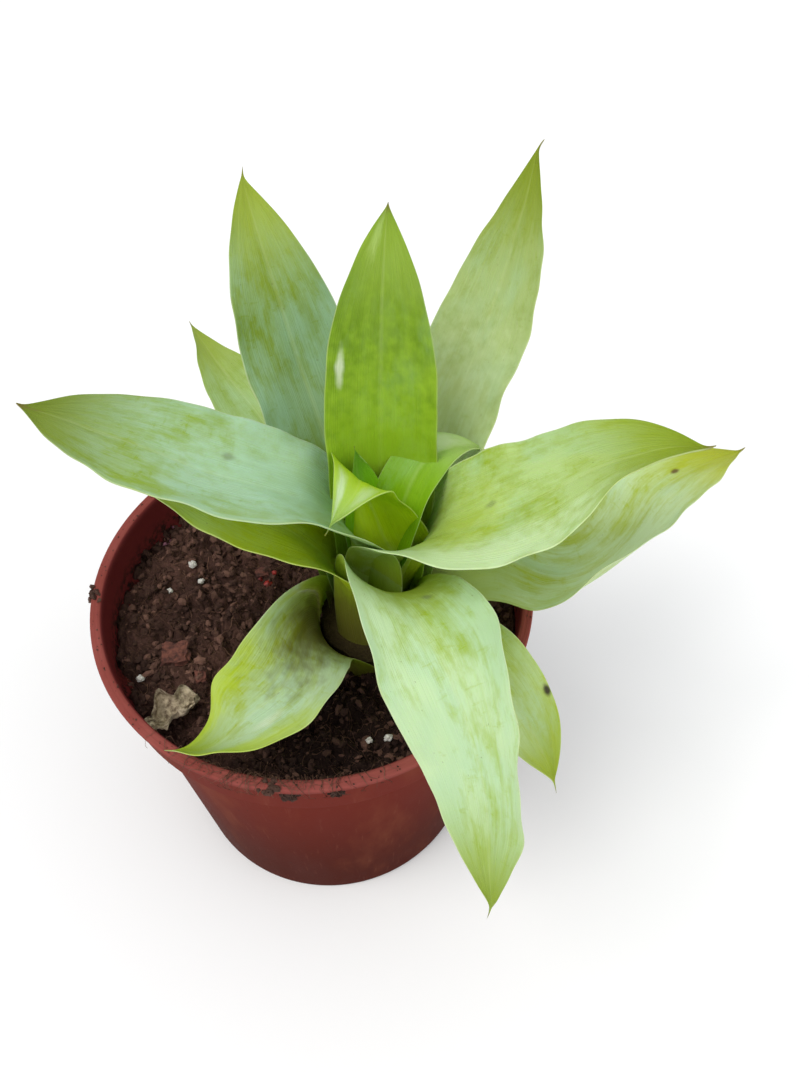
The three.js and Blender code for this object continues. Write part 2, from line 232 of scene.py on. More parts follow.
def ramp(tree, value, low, high):
    """0 on the side of low, 1 on the side of high, and a smooth step between them."""
    made = add(tree, "ShaderNodeMapRange", {"interpolation_type": "SMOOTHSTEP"}, i0=value, i1=low, i2=high)
    return made.outputs[0]


def stretched(tree, vector, x, y, z):
    made = add(tree, "ShaderNodeVectorMath", {"operation": "MULTIPLY"}, i0=vector, i1=(x, y, z))
    return made.outputs[0]


def cloud(tree, vector, scale, detail=2.0, roughness=0.5):
    made = add(
        tree, "ShaderNodeTexNoise", None,
        Vector=vector, Scale=scale, Detail=detail, Roughness=roughness,
    )
    return made.outputs["Fac"]


def own_value(tree, name):
    """A number that the mesh carries at each of its points."""
    return add(tree, "ShaderNodeAttribute", {"attribute_name": name}).outputs["Fac"]


def new_material(name):
    material = bpy.data.materials.new(name)
    material.use_nodes = True
    tree = material.node_tree
    return material, tree, tree.nodes["Principled BSDF"]


def new_group(name, inputs, outputs):
    group = bpy.data.node_groups.new(name, "ShaderNodeTree")
    for label, kind in inputs.items():
        group.interface.new_socket(label, in_out="INPUT", socket_type=kind)
    for label, kind in outputs.items():
        group.interface.new_socket(label, in_out="OUTPUT", socket_type=kind)
    return group, group.nodes.new("NodeGroupInput").outputs, group.nodes.new("NodeGroupOutput").inputs


def bump(tree, height, distance, strength=1.0):
    made = add(tree, "ShaderNodeBump", None, Height=height, Distance=distance, Strength=strength)
    return made.outputs["Normal"]


print("helpers are ready")

# %% [markdown]
# ## Floor
# One pale, even sheet, far larger than the view, so that its edges never show.

# %% Floor
FLOOR_HALF = 6.0

floor_material, _, floor_shader = new_material("floor_pale")
floor_shader.inputs["Base Color"].default_value = screen_colour(246, 246, 245)
floor_shader.inputs["Roughness"].default_value = 0.9
bm = bmesh.new()
bmesh.ops.create_grid(bm, x_segments=1, y_segments=1, size=FLOOR_HALF)
floor = new_object("floor", bm, floor_material)
floor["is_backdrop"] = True
print("floor is", 2 * FLOOR_HALF, "m wide")

# %% [markdown]
# ## Pot plastic
# Cheap nursery pots are moulded from terracotta-brown plastic. The colour is even, but the surface
# is not: fine mould grain, faint vertical rub marks, a dusty film, and specks of soil. The lip is
# painted paler, partly for wear and dust and partly as a painted highlight where light falls on its
# top, and the wall inside it is splashed with soil. The film also makes the plastic rougher.
# A low `IOR` keeps the wall from mirroring the bright floor, which would grey its brown.

# %% Pot material
pot_material, tree, shader = new_material("pot_plastic")
place = add(tree, "ShaderNodeTexCoord").outputs["Object"]
millimetres = stretched(tree, place, 1000, 1000, 1000)
grain = cloud(tree, millimetres, 1.6, 3.0)
film = cloud(tree, stretched(tree, millimetres, 1, 1, 0.35), 0.05, 4.0, 0.6)
rubs = cloud(tree, stretched(tree, millimetres, 1, 1, 0.08), 0.9, 2.0)
specks = ramp(tree, cloud(tree, millimetres, 0.62, 2.0), 0.72, 0.76)
height = add(tree, "ShaderNodeSeparateXYZ", None, Vector=millimetres).outputs["Z"]
level = stretched(tree, millimetres, 1, 1, 0)
from_axis = add(tree, "ShaderNodeVectorMath", {"operation": "LENGTH"}, i0=level).outputs[1]
inside = calc(tree, "MULTIPLY", ramp(tree, from_axis, 57.4, 57.0), ramp(tree, height, 88.0, 90.0))
low_brown, high_brown = screen_colour(74, 23, 11), screen_colour(112, 41, 31)
body = blend_colours(tree, ramp(tree, height, 10.0, 105.0), low_brown, high_brown)
body = paint(tree, body, ramp(tree, film, 0.5, 0.75), 0.3, (146, 84, 60))
body = paint(tree, body, ramp(tree, rubs, 0.6, 0.8), 0.1, (166, 106, 88))
# Wear and painted highlight: the top of the lip is painted paler, partly worn and dusty, partly a painted
# highlight where the light falls on it.
wear_and_highlight = calc(tree, "MULTIPLY_ADD", film, 0.8, 0.2)
body = paint(tree, body, ramp(tree, height, 102.4, 104.6), wear_and_highlight, (158, 88, 82))
body = paint(tree, body, inside, 0.8, (100, 38, 40))
splash = calc(tree, "MULTIPLY", ramp(tree, height, 99.0, 92.0), inside)
splashes = ramp(tree, cloud(tree, millimetres, 0.45, 4.0, 0.7), 0.42, 0.6)
body = paint(tree, body, splash, splashes, (44, 28, 25))
body = paint(tree, body, specks, 0.8, (58, 34, 28))
tree.links.new(body, shader.inputs["Base Color"])
tree.links.new(calc(tree, "MULTIPLY_ADD", film, 0.25, 0.38), shader.inputs["Roughness"])
tree.links.new(bump(tree, grain, 0.00006, 0.6), shader.inputs["Normal"])
shader.inputs["IOR"].default_value = 1.05
print("pot nodes:", len(tree.nodes))

# %% [markdown]
# ## Pot
# A moulded pot is a turned shape, so its outline is drawn once and spun. The outline goes up the
# outside, over the lip and down the inside. Two fine ridges run round the top of the lip, as the
# mould leaves them.

# %% Pot outline and spin
POT_HEIGHT = 105.0
LIP_RADIUS = 60.0
LIP_WIDTH = 3.2
LIP_DEPTH = 2.4
COLLAR_RADIUS = 58.0
COLLAR_DEPTH = 16.5
BODY_TOP_RADIUS = 54.4
FOOT_RADIUS = 47.0
WALL = 1.4
FOOT_WIDTH = 5.0
FOOT_LIFT = 2.0
HUB_RADIUS = 12.0
DRAIN_HOLES = 6
DRAIN_RADIUS = 3.6
DRAIN_CIRCLE = 28.0
POT_STEPS = 160

step_height = POT_HEIGHT - COLLAR_DEPTH
foot_inner = FOOT_RADIUS - FOOT_WIDTH
collar_inner = COLLAR_RADIUS - WALL
lip_under = POT_HEIGHT - LIP_DEPTH
lip_inner = LIP_RADIUS - LIP_WIDTH
pot_outline = [
    (0, 0), (HUB_RADIUS, 0), (HUB_RADIUS + 0.6, 0.2), (HUB_RADIUS + FOOT_LIFT, FOOT_LIFT - 0.2),
    (HUB_RADIUS + FOOT_LIFT + 0.6, FOOT_LIFT), (foot_inner - FOOT_LIFT - 0.6, FOOT_LIFT),
    (foot_inner - FOOT_LIFT, FOOT_LIFT - 0.2), (foot_inner - 0.5, 0.2), (foot_inner, 0),
    (FOOT_RADIUS - 1.2, 0), (FOOT_RADIUS - 0.5, 0.25), (FOOT_RADIUS - 0.1, 1), (FOOT_RADIUS + 0.05, 1.8),
    (BODY_TOP_RADIUS - 0.1, step_height - 2), (BODY_TOP_RADIUS, step_height - 1),
    (BODY_TOP_RADIUS + 0.4, step_height - 0.3), (COLLAR_RADIUS - 1.2, step_height),
    (COLLAR_RADIUS - 0.7, step_height + 0.2), (COLLAR_RADIUS - 0.4, step_height + 0.9),
    (COLLAR_RADIUS - 0.05, lip_under - 1), (COLLAR_RADIUS + 0.3, lip_under - 0.2),
    (LIP_RADIUS - 0.5, lip_under), (LIP_RADIUS - 0.1, lip_under + 0.4),
    (LIP_RADIUS, POT_HEIGHT - 1.2), (LIP_RADIUS - 0.15, POT_HEIGHT - 0.4),
    (LIP_RADIUS - 0.5, POT_HEIGHT - 0.1),
]
for ridge in (LIP_RADIUS - 1.0, LIP_RADIUS - 1.9):
    pot_outline += [(ridge + 0.22, POT_HEIGHT - 0.22), (ridge, POT_HEIGHT), (ridge - 0.22, POT_HEIGHT - 0.04)]
pot_outline += [
    (lip_inner + 0.4, POT_HEIGHT - 0.15), (lip_inner + 0.05, POT_HEIGHT - 0.6),
    (lip_inner - 0.1, POT_HEIGHT - 1.4), (collar_inner - 0.4, step_height + WALL + 0.8),
    (collar_inner - 1.2, step_height + WALL), (BODY_TOP_RADIUS - WALL + 0.3, step_height + 0.3),
    (BODY_TOP_RADIUS - WALL, step_height - WALL), (FOOT_RADIUS - WALL, FOOT_LIFT + WALL + 1),
    (FOOT_RADIUS - WALL - 1, FOOT_LIFT + WALL), (0, FOOT_LIFT + WALL),
]
pot = finish_piece("nursery_pot", spun_solid(pot_outline, POT_STEPS), pot_material, ["pot"])

# %% [markdown]
# The drain holes go through the raised floor between the hub and the standing ring. A Boolean
# modifier with a ring of short rods is the plainest way to cut round holes in a spun mesh. It is
# applied at once, so that the pot keeps no link to the rods.

# %% Drain holes
DRILL_SIDES = 32
DRILL_LENGTH = 12.0

bm = bmesh.new()
for hole in range(DRAIN_HOLES):
    turn = 2 * math.pi * hole / DRAIN_HOLES
    middle = Vector((DRAIN_CIRCLE * math.cos(turn), DRAIN_CIRCLE * math.sin(turn), FOOT_LIFT)) * MM
    bmesh.ops.create_cone(
        bm, cap_ends=True, segments=DRILL_SIDES, radius1=DRAIN_RADIUS * MM, radius2=DRAIN_RADIUS * MM,
        depth=DRILL_LENGTH * MM, matrix=Matrix.Translation(middle),
    )
rods = new_object("drain_rods", bm, pot_material)
cutter = pot.modifiers.new("drains", "BOOLEAN")
cutter.object = rods
cutter.operation = "DIFFERENCE"
view = bpy.context.evaluated_depsgraph_get()
cut_pot = bpy.data.meshes.new_from_object(pot.evaluated_get(view))
pot.modifiers.clear()
pot.data = cut_pot
bpy.data.objects.remove(rods)
print("pot faces after drilling:", len(pot.data.polygons))

# %% [markdown]
# ## Soil
# Potting mix is peat, bark fines and fibre. From a hand's distance it is a rough, dark surface with
# lumps of every size. The body of it is one spun solid whose top is pushed up and down by noise.
# Crumbs, fibres and grit are then scattered over it as real shapes, because a bump map alone
# would look like painted rubber from the side.


# %% Soil height
SOIL_LEVEL = 91.0
STEM_X = 16.0
STEM_Y = -10.0


def soil_height(x, y):
    """Height of the soil in millimetres, without its fine roughness."""
    lumps = 1.1 * math.sin(0.21 * x + 0.6) * math.cos(0.17 * y - 0.4)
    grit = 0.5 * math.sin(0.47 * x - 0.9) * math.sin(0.39 * y + 1.3)
    stem_distance = math.hypot(x - STEM_X, y - STEM_Y)
    return SOIL_LEVEL + lumps + grit + 1.2 * math.exp(-((stem_distance / 22) ** 2))


def rough_soil_height(x, y):
    place = Vector((x, y, 0.0))
    clods = noise.fractal(place * 0.14, 0.6, 2.1, 3)
    crumbs = noise.fractal(place * 0.5 + Vector((9, 4, 2)), 0.5, 2.0, 3)
    return soil_height(x, y) + 2.6 * clods + 2.2 * crumbs


print("soil at the middle:", round(soil_height(0, 0), 1), "mm")

# %% [markdown]
# The soil is a mottle of dark and brown, and tan where fibres show. At the front, round one point,
# it is painted nearly black: a painted shade. One node group, `soil_mottle`, serves the soil, its
# crumbs and its fibres. Each scattered crumb carries a random number in a `tint` attribute, so one
# material gives hundreds of different crumbs.


# %% Soil materials
# Middle of a painted shade at the front of the soil, in millimetres.
SHADED_SOIL_MIDDLE = (12.0, -44.0, 91.0)


soil_group, given, result = new_group(
    "soil_mottle",
    {
        "Place": "NodeSocketVector", "Dark": "NodeSocketColor", "Light": "NodeSocketColor",
        "Mottle": "NodeSocketFloat", "Tint": "NodeSocketFloat",
    },
    {"Colour": "NodeSocketColor", "Roughness": "NodeSocketFloat", "Height": "NodeSocketFloat"},
)
tree = soil_group
millimetres = stretched(tree, given["Place"], 1000, 1000, 1000)
patches = cloud(tree, millimetres, 0.06, 3.0, 0.6)
fine = cloud(tree, millimetres, 1.3, 4.0, 0.7)
share = calc(tree, "MULTIPLY_ADD", ramp(tree, patches, 0.3, 0.7), 0.35, calc(tree, "MULTIPLY", fine, 0.6))
reach = add(tree, "ShaderNodeVectorMath", {"operation": "DISTANCE"}, i0=millimetres, i1=SHADED_SOIL_MIDDLE)
# Painted shade: the soil is painted darkest at that point and lightens over 20 to 44 mm from it.
out_of_painted_shade = calc(tree, "MULTIPLY_ADD", ramp(tree, reach.outputs[1], 20.0, 44.0), 0.75, 0.25)
share = calc(tree, "MULTIPLY", share, out_of_painted_shade)
share = calc(tree, "MULTIPLY_ADD", share, given["Mottle"], given["Tint"], clamp=True)
tree.links.new(blend_colours(tree, share, given["Dark"], given["Light"]), result["Colour"])
tree.links.new(ramp(tree, fine, 1.6, 0.0), result["Roughness"])
tree.links.new(fine, result["Height"])


def soil_material(name, dark, light, per_piece):
    material, tree, shader = new_material(name)
    tint = calc(tree, "MULTIPLY", own_value(tree, "tint"), 0.6) if per_piece else 0.0
    mottle = add(
        tree, "ShaderNodeGroup", {"node_tree": soil_group},
        Place=add(tree, "ShaderNodeTexCoord").outputs["Object"],
        Dark=screen_colour(*dark), Light=screen_colour(*light),
        Mottle=0.5 if per_piece else 1.0, Tint=tint,
    )
    tree.links.new(mottle.outputs["Colour"], shader.inputs["Base Color"])
    tree.links.new(mottle.outputs["Roughness"], shader.inputs["Roughness"])
    tree.links.new(bump(tree, mottle.outputs["Height"], 0.0007), shader.inputs["Normal"])
    shader.inputs["IOR"].default_value = 1.2
    return material


peat = soil_material("peat", (20, 14, 12), (118, 84, 73), False)
peat_crumbs = soil_material("peat_crumbs", (26, 18, 16), (138, 102, 88), True)
peat_fibres = soil_material("peat_fibres", (52, 36, 30), (146, 110, 90), True)
print("soil materials:", peat.name, peat_crumbs.name, peat_fibres.name)

# %% [markdown]
# The block of soil follows the pot's inside, stopping a hair short of the wall, and its top edge is
# tucked against the collar. The spin starts from the outline; the noise moves only the top.

# %% Soil block
SOIL_RADIUS = collar_inner - 0.5
SOIL_GAP = 0.3
SOIL_STEPS = 220
SOIL_RINGS = 80

soil_outline = [(SOIL_RADIUS * index / SOIL_RINGS, SOIL_LEVEL) for index in range(SOIL_RINGS + 1)]
soil_bottom = FOOT_LIFT + WALL + SOIL_GAP
soil_outline += [(BODY_TOP_RADIUS - WALL - SOIL_GAP, step_height - WALL)]
soil_outline += [(FOOT_RADIUS - WALL - SOIL_GAP, soil_bottom), (0, soil_bottom)]
bm = spun_solid(soil_outline, SOIL_STEPS)
for vert in bm.verts:
    if vert.co.z > (SOIL_LEVEL - 0.1) * MM:
        vert.co.z = rough_soil_height(vert.co.x / MM, vert.co.y / MM) * MM
finish_piece("soil_block", bm, peat, ["soil"])

# %% [markdown]
# Crumbs are twenty-sided lumps, squashed and turned at random. There are many small ones and few
# large ones, as a sieve would show: the size is a power of a random number. They keep clear of the
# stem. One lump is made with `create_icosphere`, and the others copy its points and faces, because
# the operator is slow when it runs thousands of times. The random numbers start from a fixed seed,
# so the same soil grows every time.


# %% Crumbs
def scatter_places(count, seed, radius, keep_clear):
    """Random places on the soil, in millimetres, outside the plant's stem."""
    dice = random.Random(seed)
    places = []
    while len(places) < count:
        distance = radius * math.sqrt(dice.random())
        angle = dice.uniform(0, 2 * math.pi)
        x, y = distance * math.cos(angle), distance * math.sin(angle)
        if math.hypot(x - STEM_X, y - STEM_Y) > keep_clear:
            places.append((x, y))
    return dice, places


lump_pattern = bmesh.new()
bmesh.ops.create_icosphere(lump_pattern, subdivisions=1, radius=1.0)
LUMP_POINTS = [vert.co.copy() for vert in lump_pattern.verts]
LUMP_FACES = [[vert.index for vert in face.verts] for face in lump_pattern.faces]
lump_pattern.free()


def add_lump(bm, layer, tint, centre, size, dice, squash=0.7, stretch=1.0):
    turn = Matrix.Rotation(dice.uniform(0, 6.28), 3, "Z")
    turn = turn @ Matrix.Rotation(dice.uniform(-0.6, 0.6), 3, "X")
    verts = []
    for point in LUMP_POINTS:
        swell = dice.uniform(0.65, 1.35) * size / 2 * MM
        shaped = Vector((point.x * stretch, point.y * squash, point.z * squash)) * swell
        vert = bm.verts.new(turn @ shaped + centre)
        vert[layer] = tint
        verts.append(vert)
    for face in LUMP_FACES:
        bm.faces.new([verts[index] for index in face])


CRUMB_COUNT = 8000
CRUMB_SEED = 7
CRUMB_SMALLEST = 0.3
CRUMB_LARGEST = 2.8

bm = bmesh.new()
tint_layer = bm.verts.layers.float.new("tint")
dice, places = scatter_places(CRUMB_COUNT, CRUMB_SEED, SOIL_RADIUS - 1, 15)
for x, y in places:
    size = CRUMB_SMALLEST + (CRUMB_LARGEST - CRUMB_SMALLEST) * dice.random() ** 4
    centre = Vector((x, y, rough_soil_height(x, y) + 0.2 * size)) * MM
    tint, squash, stretch = dice.random() ** 2, dice.uniform(0.55, 0.95), dice.uniform(1.0, 1.4)
    add_lump(bm, tint_layer, tint, centre, size, dice, squash, stretch)
finish_piece("soil_crumbs", bm, peat_crumbs, smooth=False)

# %% [markdown]
# Fibres are what make peat look like peat. Each is a thin three-sided tube along a wandering line,
# made by extruding a small triangle from point to point.


# %% Fibres
def add_fibre(bm, layer, tint, points, radius, sides=3):
    rings = []
    for index, point in enumerate(points):
        ahead = points[min(index + 1, len(points) - 1)] - points[max(index - 1, 0)]
        across = ahead.cross(Vector((0.3, 0.2, 1.0))).normalized()
        other = ahead.cross(across).normalized()
        thin = radius * (1.0 - 0.5 * index / (len(points) - 1))
        ring = []
        for side in range(sides):
            angle = 2 * math.pi * side / sides
            vert = bm.verts.new(point + (across * math.cos(angle) + other * math.sin(angle)) * thin)
            vert[layer] = tint
            ring.append(vert)
        rings.append(ring)
    for lower, upper in zip(rings, rings[1:]):
        for side in range(sides):
            following = (side + 1) % sides
            bm.faces.new((lower[side], lower[following], upper[following], upper[side]))
    bm.faces.new(list(reversed(rings[0])))
    bm.faces.new(rings[-1])


FIBRE_COUNT = 2200
FIBRE_SEED = 21
FIBRE_POINTS = 7

bm = bmesh.new()
tint_layer = bm.verts.layers.float.new("tint")
dice, places = scatter_places(FIBRE_COUNT, FIBRE_SEED, SOIL_RADIUS - 3, 14)
for x, y in places:
    heading = dice.uniform(0, 6.28)
    length = 2.0 + 9.0 * dice.random() ** 2
    lift = dice.uniform(0.1, 1.0)
    points = []
    for index in range(FIBRE_POINTS):
        hump = lift * math.sin(math.pi * index / (FIBRE_POINTS - 1))
        points.append(Vector((x, y, rough_soil_height(x, y) + 0.15 + hump)) * MM)
        heading += dice.uniform(-0.5, 0.5)
        x += length / FIBRE_POINTS * math.cos(heading)
        y += length / FIBRE_POINTS * math.sin(heading)
        if math.hypot(x, y) > SOIL_RADIUS - 1:
            heading += 2.0
            x *= 0.97
            y *= 0.97
    add_fibre(bm, tint_layer, dice.random() ** 1.5, points, dice.uniform(0.05, 0.16) * MM)
finish_piece("soil_fibres", bm, peat_fibres)

# %% [markdown]
# ## Leaf surface
# A bromeliad leaf is green flesh under a waxy, scaly bloom that rubs off wherever it is touched.
# So the colour is two layers: a saturated green, and a pale mint film whose cover changes from
# place to place. The film is thin in streaks along the veins, and broken by short rubs across
# them. All leaves share these effects through one node group, and differ only in its inputs.
#
# The group works in the leaf's own directions. The mesh carries `along` (0 at the sheath, 1 at the
# tip), `across` (-1 to 1 between the margins) and `upper` (1 on the upper face, 0 below).


# %% Leaf surface group
leaf_group, given, result = new_group(
    "leaf_surface",
    {
        "Length": "NodeSocketFloat", "Width": "NodeSocketFloat", "Seed": "NodeSocketFloat",
        "Bloom": "NodeSocketFloat", "Flesh": "NodeSocketColor", "Film": "NodeSocketColor",
        "Sheath": "NodeSocketColor", "Tip": "NodeSocketColor",
    },
    {"Colour": "NodeSocketColor", "Roughness": "NodeSocketFloat", "Height": "NodeSocketFloat"},
)
tree = leaf_group
along = own_value(tree, "along")
across = own_value(tree, "across")
upper = own_value(tree, "upper")
off_middle = calc(tree, "ABSOLUTE", across)
across_mm = calc(tree, "MULTIPLY", across, calc(tree, "MULTIPLY", given["Width"], 0.5))
along_mm = calc(tree, "MULTIPLY", along, given["Length"])
leaf_place = add(
    tree, "ShaderNodeCombineXYZ", None,
    X=across_mm, Y=along_mm, Z=calc(tree, "MULTIPLY", given["Seed"], 17.0),
).outputs[0]

veins = cloud(tree, stretched(tree, leaf_place, 3.6, 0.035, 1), 1.0, 2.0, 0.6)
streaks = cloud(tree, stretched(tree, leaf_place, 0.7, 0.02, 1), 1.0, 3.0, 0.6)
zones = cloud(tree, stretched(tree, leaf_place, 0.05, 0.028, 1), 1.0, 2.0, 0.5)
blotches = cloud(tree, stretched(tree, leaf_place, 0.26, 0.12, 1), 1.0, 4.0, 0.62)
hues = cloud(tree, stretched(tree, leaf_place, 0.07, 0.04, 3), 1.0, 2.0, 0.5)
rubs = cloud(tree, stretched(tree, leaf_place, 0.16, 0.5, 1), 1.0, 3.0, 0.7)
dots = cloud(tree, stretched(tree, leaf_place, 1.0, 0.8, 1), 1.0, 1.0)

cover = calc(tree, "MULTIPLY_ADD", zones, 2.6, calc(tree, "SUBTRACT", given["Bloom"], 1.3))
cover = calc(tree, "MULTIPLY_ADD", ramp(tree, blotches, 0.4, 0.66), -0.5, calc(tree, "ADD", cover, 0.25))
fuzz = cloud(tree, stretched(tree, leaf_place, 1.3, 0.4, 1), 1.0, 3.0, 0.7)
cover = calc(tree, "MULTIPLY_ADD", fuzz, 0.5, calc(tree, "SUBTRACT", cover, 0.25))
cover = calc(tree, "MULTIPLY_ADD", streaks, 0.9, calc(tree, "SUBTRACT", cover, 0.45))
cover = calc(tree, "MULTIPLY_ADD", ramp(tree, rubs, 0.58, 0.68), -0.22, cover, clamp=True)
cover = calc(tree, "MULTIPLY", cover, ramp(tree, along, 0.14, 0.4))
cover = calc(tree, "MULTIPLY", cover, ramp(tree, along, 1.05, 0.78))

print("film nodes:", len(tree.nodes))

# %% [markdown]
# The colours are laid on like washes, the widest first: film over flesh, then the sheath and the tip,
# which have colours of their own. Fine ones follow: veins, midrib, dots, a painted highlight along the
# margin, a burnt point, and a darker brown-olive at the foot of the sheath.

# %% Leaf washes
cool_film = blend_colours(tree, 0.2, given["Film"], screen_colour(150, 196, 172))
film = blend_colours(tree, ramp(tree, hues, 0.42, 0.6), given["Film"], cool_film)
colour = blend_colours(tree, cover, given["Flesh"], film)
sheath_share = calc(tree, "MULTIPLY", ramp(tree, along, 0.42, 0.14), 0.85)
colour = blend_colours(tree, sheath_share, colour, given["Sheath"])
tip_share = calc(tree, "MULTIPLY", ramp(tree, along, 0.68, 0.96), 0.9)
colour = blend_colours(tree, tip_share, colour, given["Tip"])
lower = calc(tree, "SUBTRACT", 1.0, upper)
under_share = calc(tree, "MULTIPLY", calc(tree, "MULTIPLY", lower, 0.25), ramp(tree, along, 0.4, 0.7))
colour = blend_colours(tree, under_share, colour, given["Film"])
vein_shade = ramp(tree, veins, 0.3, 0.7)
colour = paint(tree, colour, vein_shade, 0.08, (96, 128, 30))
midrib = ramp(tree, calc(tree, "ABSOLUTE", across_mm), 0.9, 0.15)
colour = paint(tree, colour, midrib, 0.08, (214, 224, 160))
colour = paint(tree, colour, ramp(tree, dots, 0.74, 0.8), 0.4, (98, 104, 48))
# Painted highlight: a pale line along both margins, where light catches the leaf's edge.
colour = paint(tree, colour, ramp(tree, off_middle, 0.97, 0.998), 0.3, (222, 230, 180))
colour = paint(tree, colour, ramp(tree, along, 0.965, 0.995), 0.65, (122, 88, 46))
outer_sheath = calc(tree, "MULTIPLY", lower, ramp(tree, along, 0.5, 0.25))
colour = paint(tree, colour, outer_sheath, 0.8, (140, 164, 18))
# A darker brown-olive towards the foot of every sheath.
colour = paint(tree, colour, ramp(tree, along, 0.22, 0.05), 0.8, (88, 82, 32))

tree.links.new(colour, result["Colour"])
tree.links.new(calc(tree, "MULTIPLY_ADD", cover, 0.22, 0.36), result["Roughness"])
relief = calc(tree, "MULTIPLY_ADD", streaks, 1.4, vein_shade)
tree.links.new(relief, result["Height"])
print("leaf surface nodes:", len(tree.nodes))

# %% [markdown]
# Leaves also carry single marks, and a second group draws one. A mark is a soft-edged spot at a
# place along and across the leaf, with a size in millimetres and a ragged outline. It takes the
# leaf's colour in and hands it on, so that marks can be chained.

# %% Leaf mark group
mark_group, given, result = new_group(
    "leaf_mark",
    {
        "Colour": "NodeSocketColor", "Mark": "NodeSocketColor", "Share": "NodeSocketFloat",
        "Along": "NodeSocketFloat", "Across": "NodeSocketFloat", "Long": "NodeSocketFloat",
        "Wide": "NodeSocketFloat", "Length": "NodeSocketFloat", "Width": "NodeSocketFloat",
    },
    {"Colour": "NodeSocketColor"},
)
tree = mark_group
along_off = calc(tree, "SUBTRACT", own_value(tree, "along"), given["Along"])
along_off = calc(tree, "MULTIPLY", along_off, given["Length"])
across_off = calc(tree, "SUBTRACT", own_value(tree, "across"), given["Across"])
across_off = calc(tree, "MULTIPLY", calc(tree, "MULTIPLY", across_off, given["Width"]), 0.5)
mark_place = add(tree, "ShaderNodeCombineXYZ", None, X=across_off, Y=along_off, Z=given["Along"]).outputs[0]
ragged = cloud(tree, mark_place, 0.35, 2.0, 0.5)
along_part = calc(tree, "DIVIDE", along_off, given["Long"])
across_part = calc(tree, "DIVIDE", across_off, given["Wide"])
square = calc(tree, "MULTIPLY_ADD", along_part, along_part, calc(tree, "MULTIPLY", across_part, across_part))
distance = calc(tree, "ADD", calc(tree, "SQRT", square), calc(tree, "MULTIPLY", ragged, 0.8))
share = calc(tree, "MULTIPLY", ramp(tree, distance, 1.4, 0.6), given["Share"])
tree.links.new(blend_colours(tree, share, given["Colour"], given["Mark"]), result["Colour"])
print("leaf mark nodes:", len(tree.nodes))

# %% [markdown]
# ## Leaf shapes
# Each leaf is a midrib that climbs, turns and rolls as it goes, with an arched blade across it.
# The lists give those angles in degrees at even steps from sheath to tip, and `channel` is how many
# degrees of arc the blade spans: wide at the sheath, where it wraps the stem, and flat further out.
# `lean`, where it is given, swings that arc to one side of the midrib, so that one margin stands up.
# `tip` adds the point: its length in millimetres, then how far it curls up and to the side.
# `furl` closes the blade towards its tip, and `wave` ripples the margins.

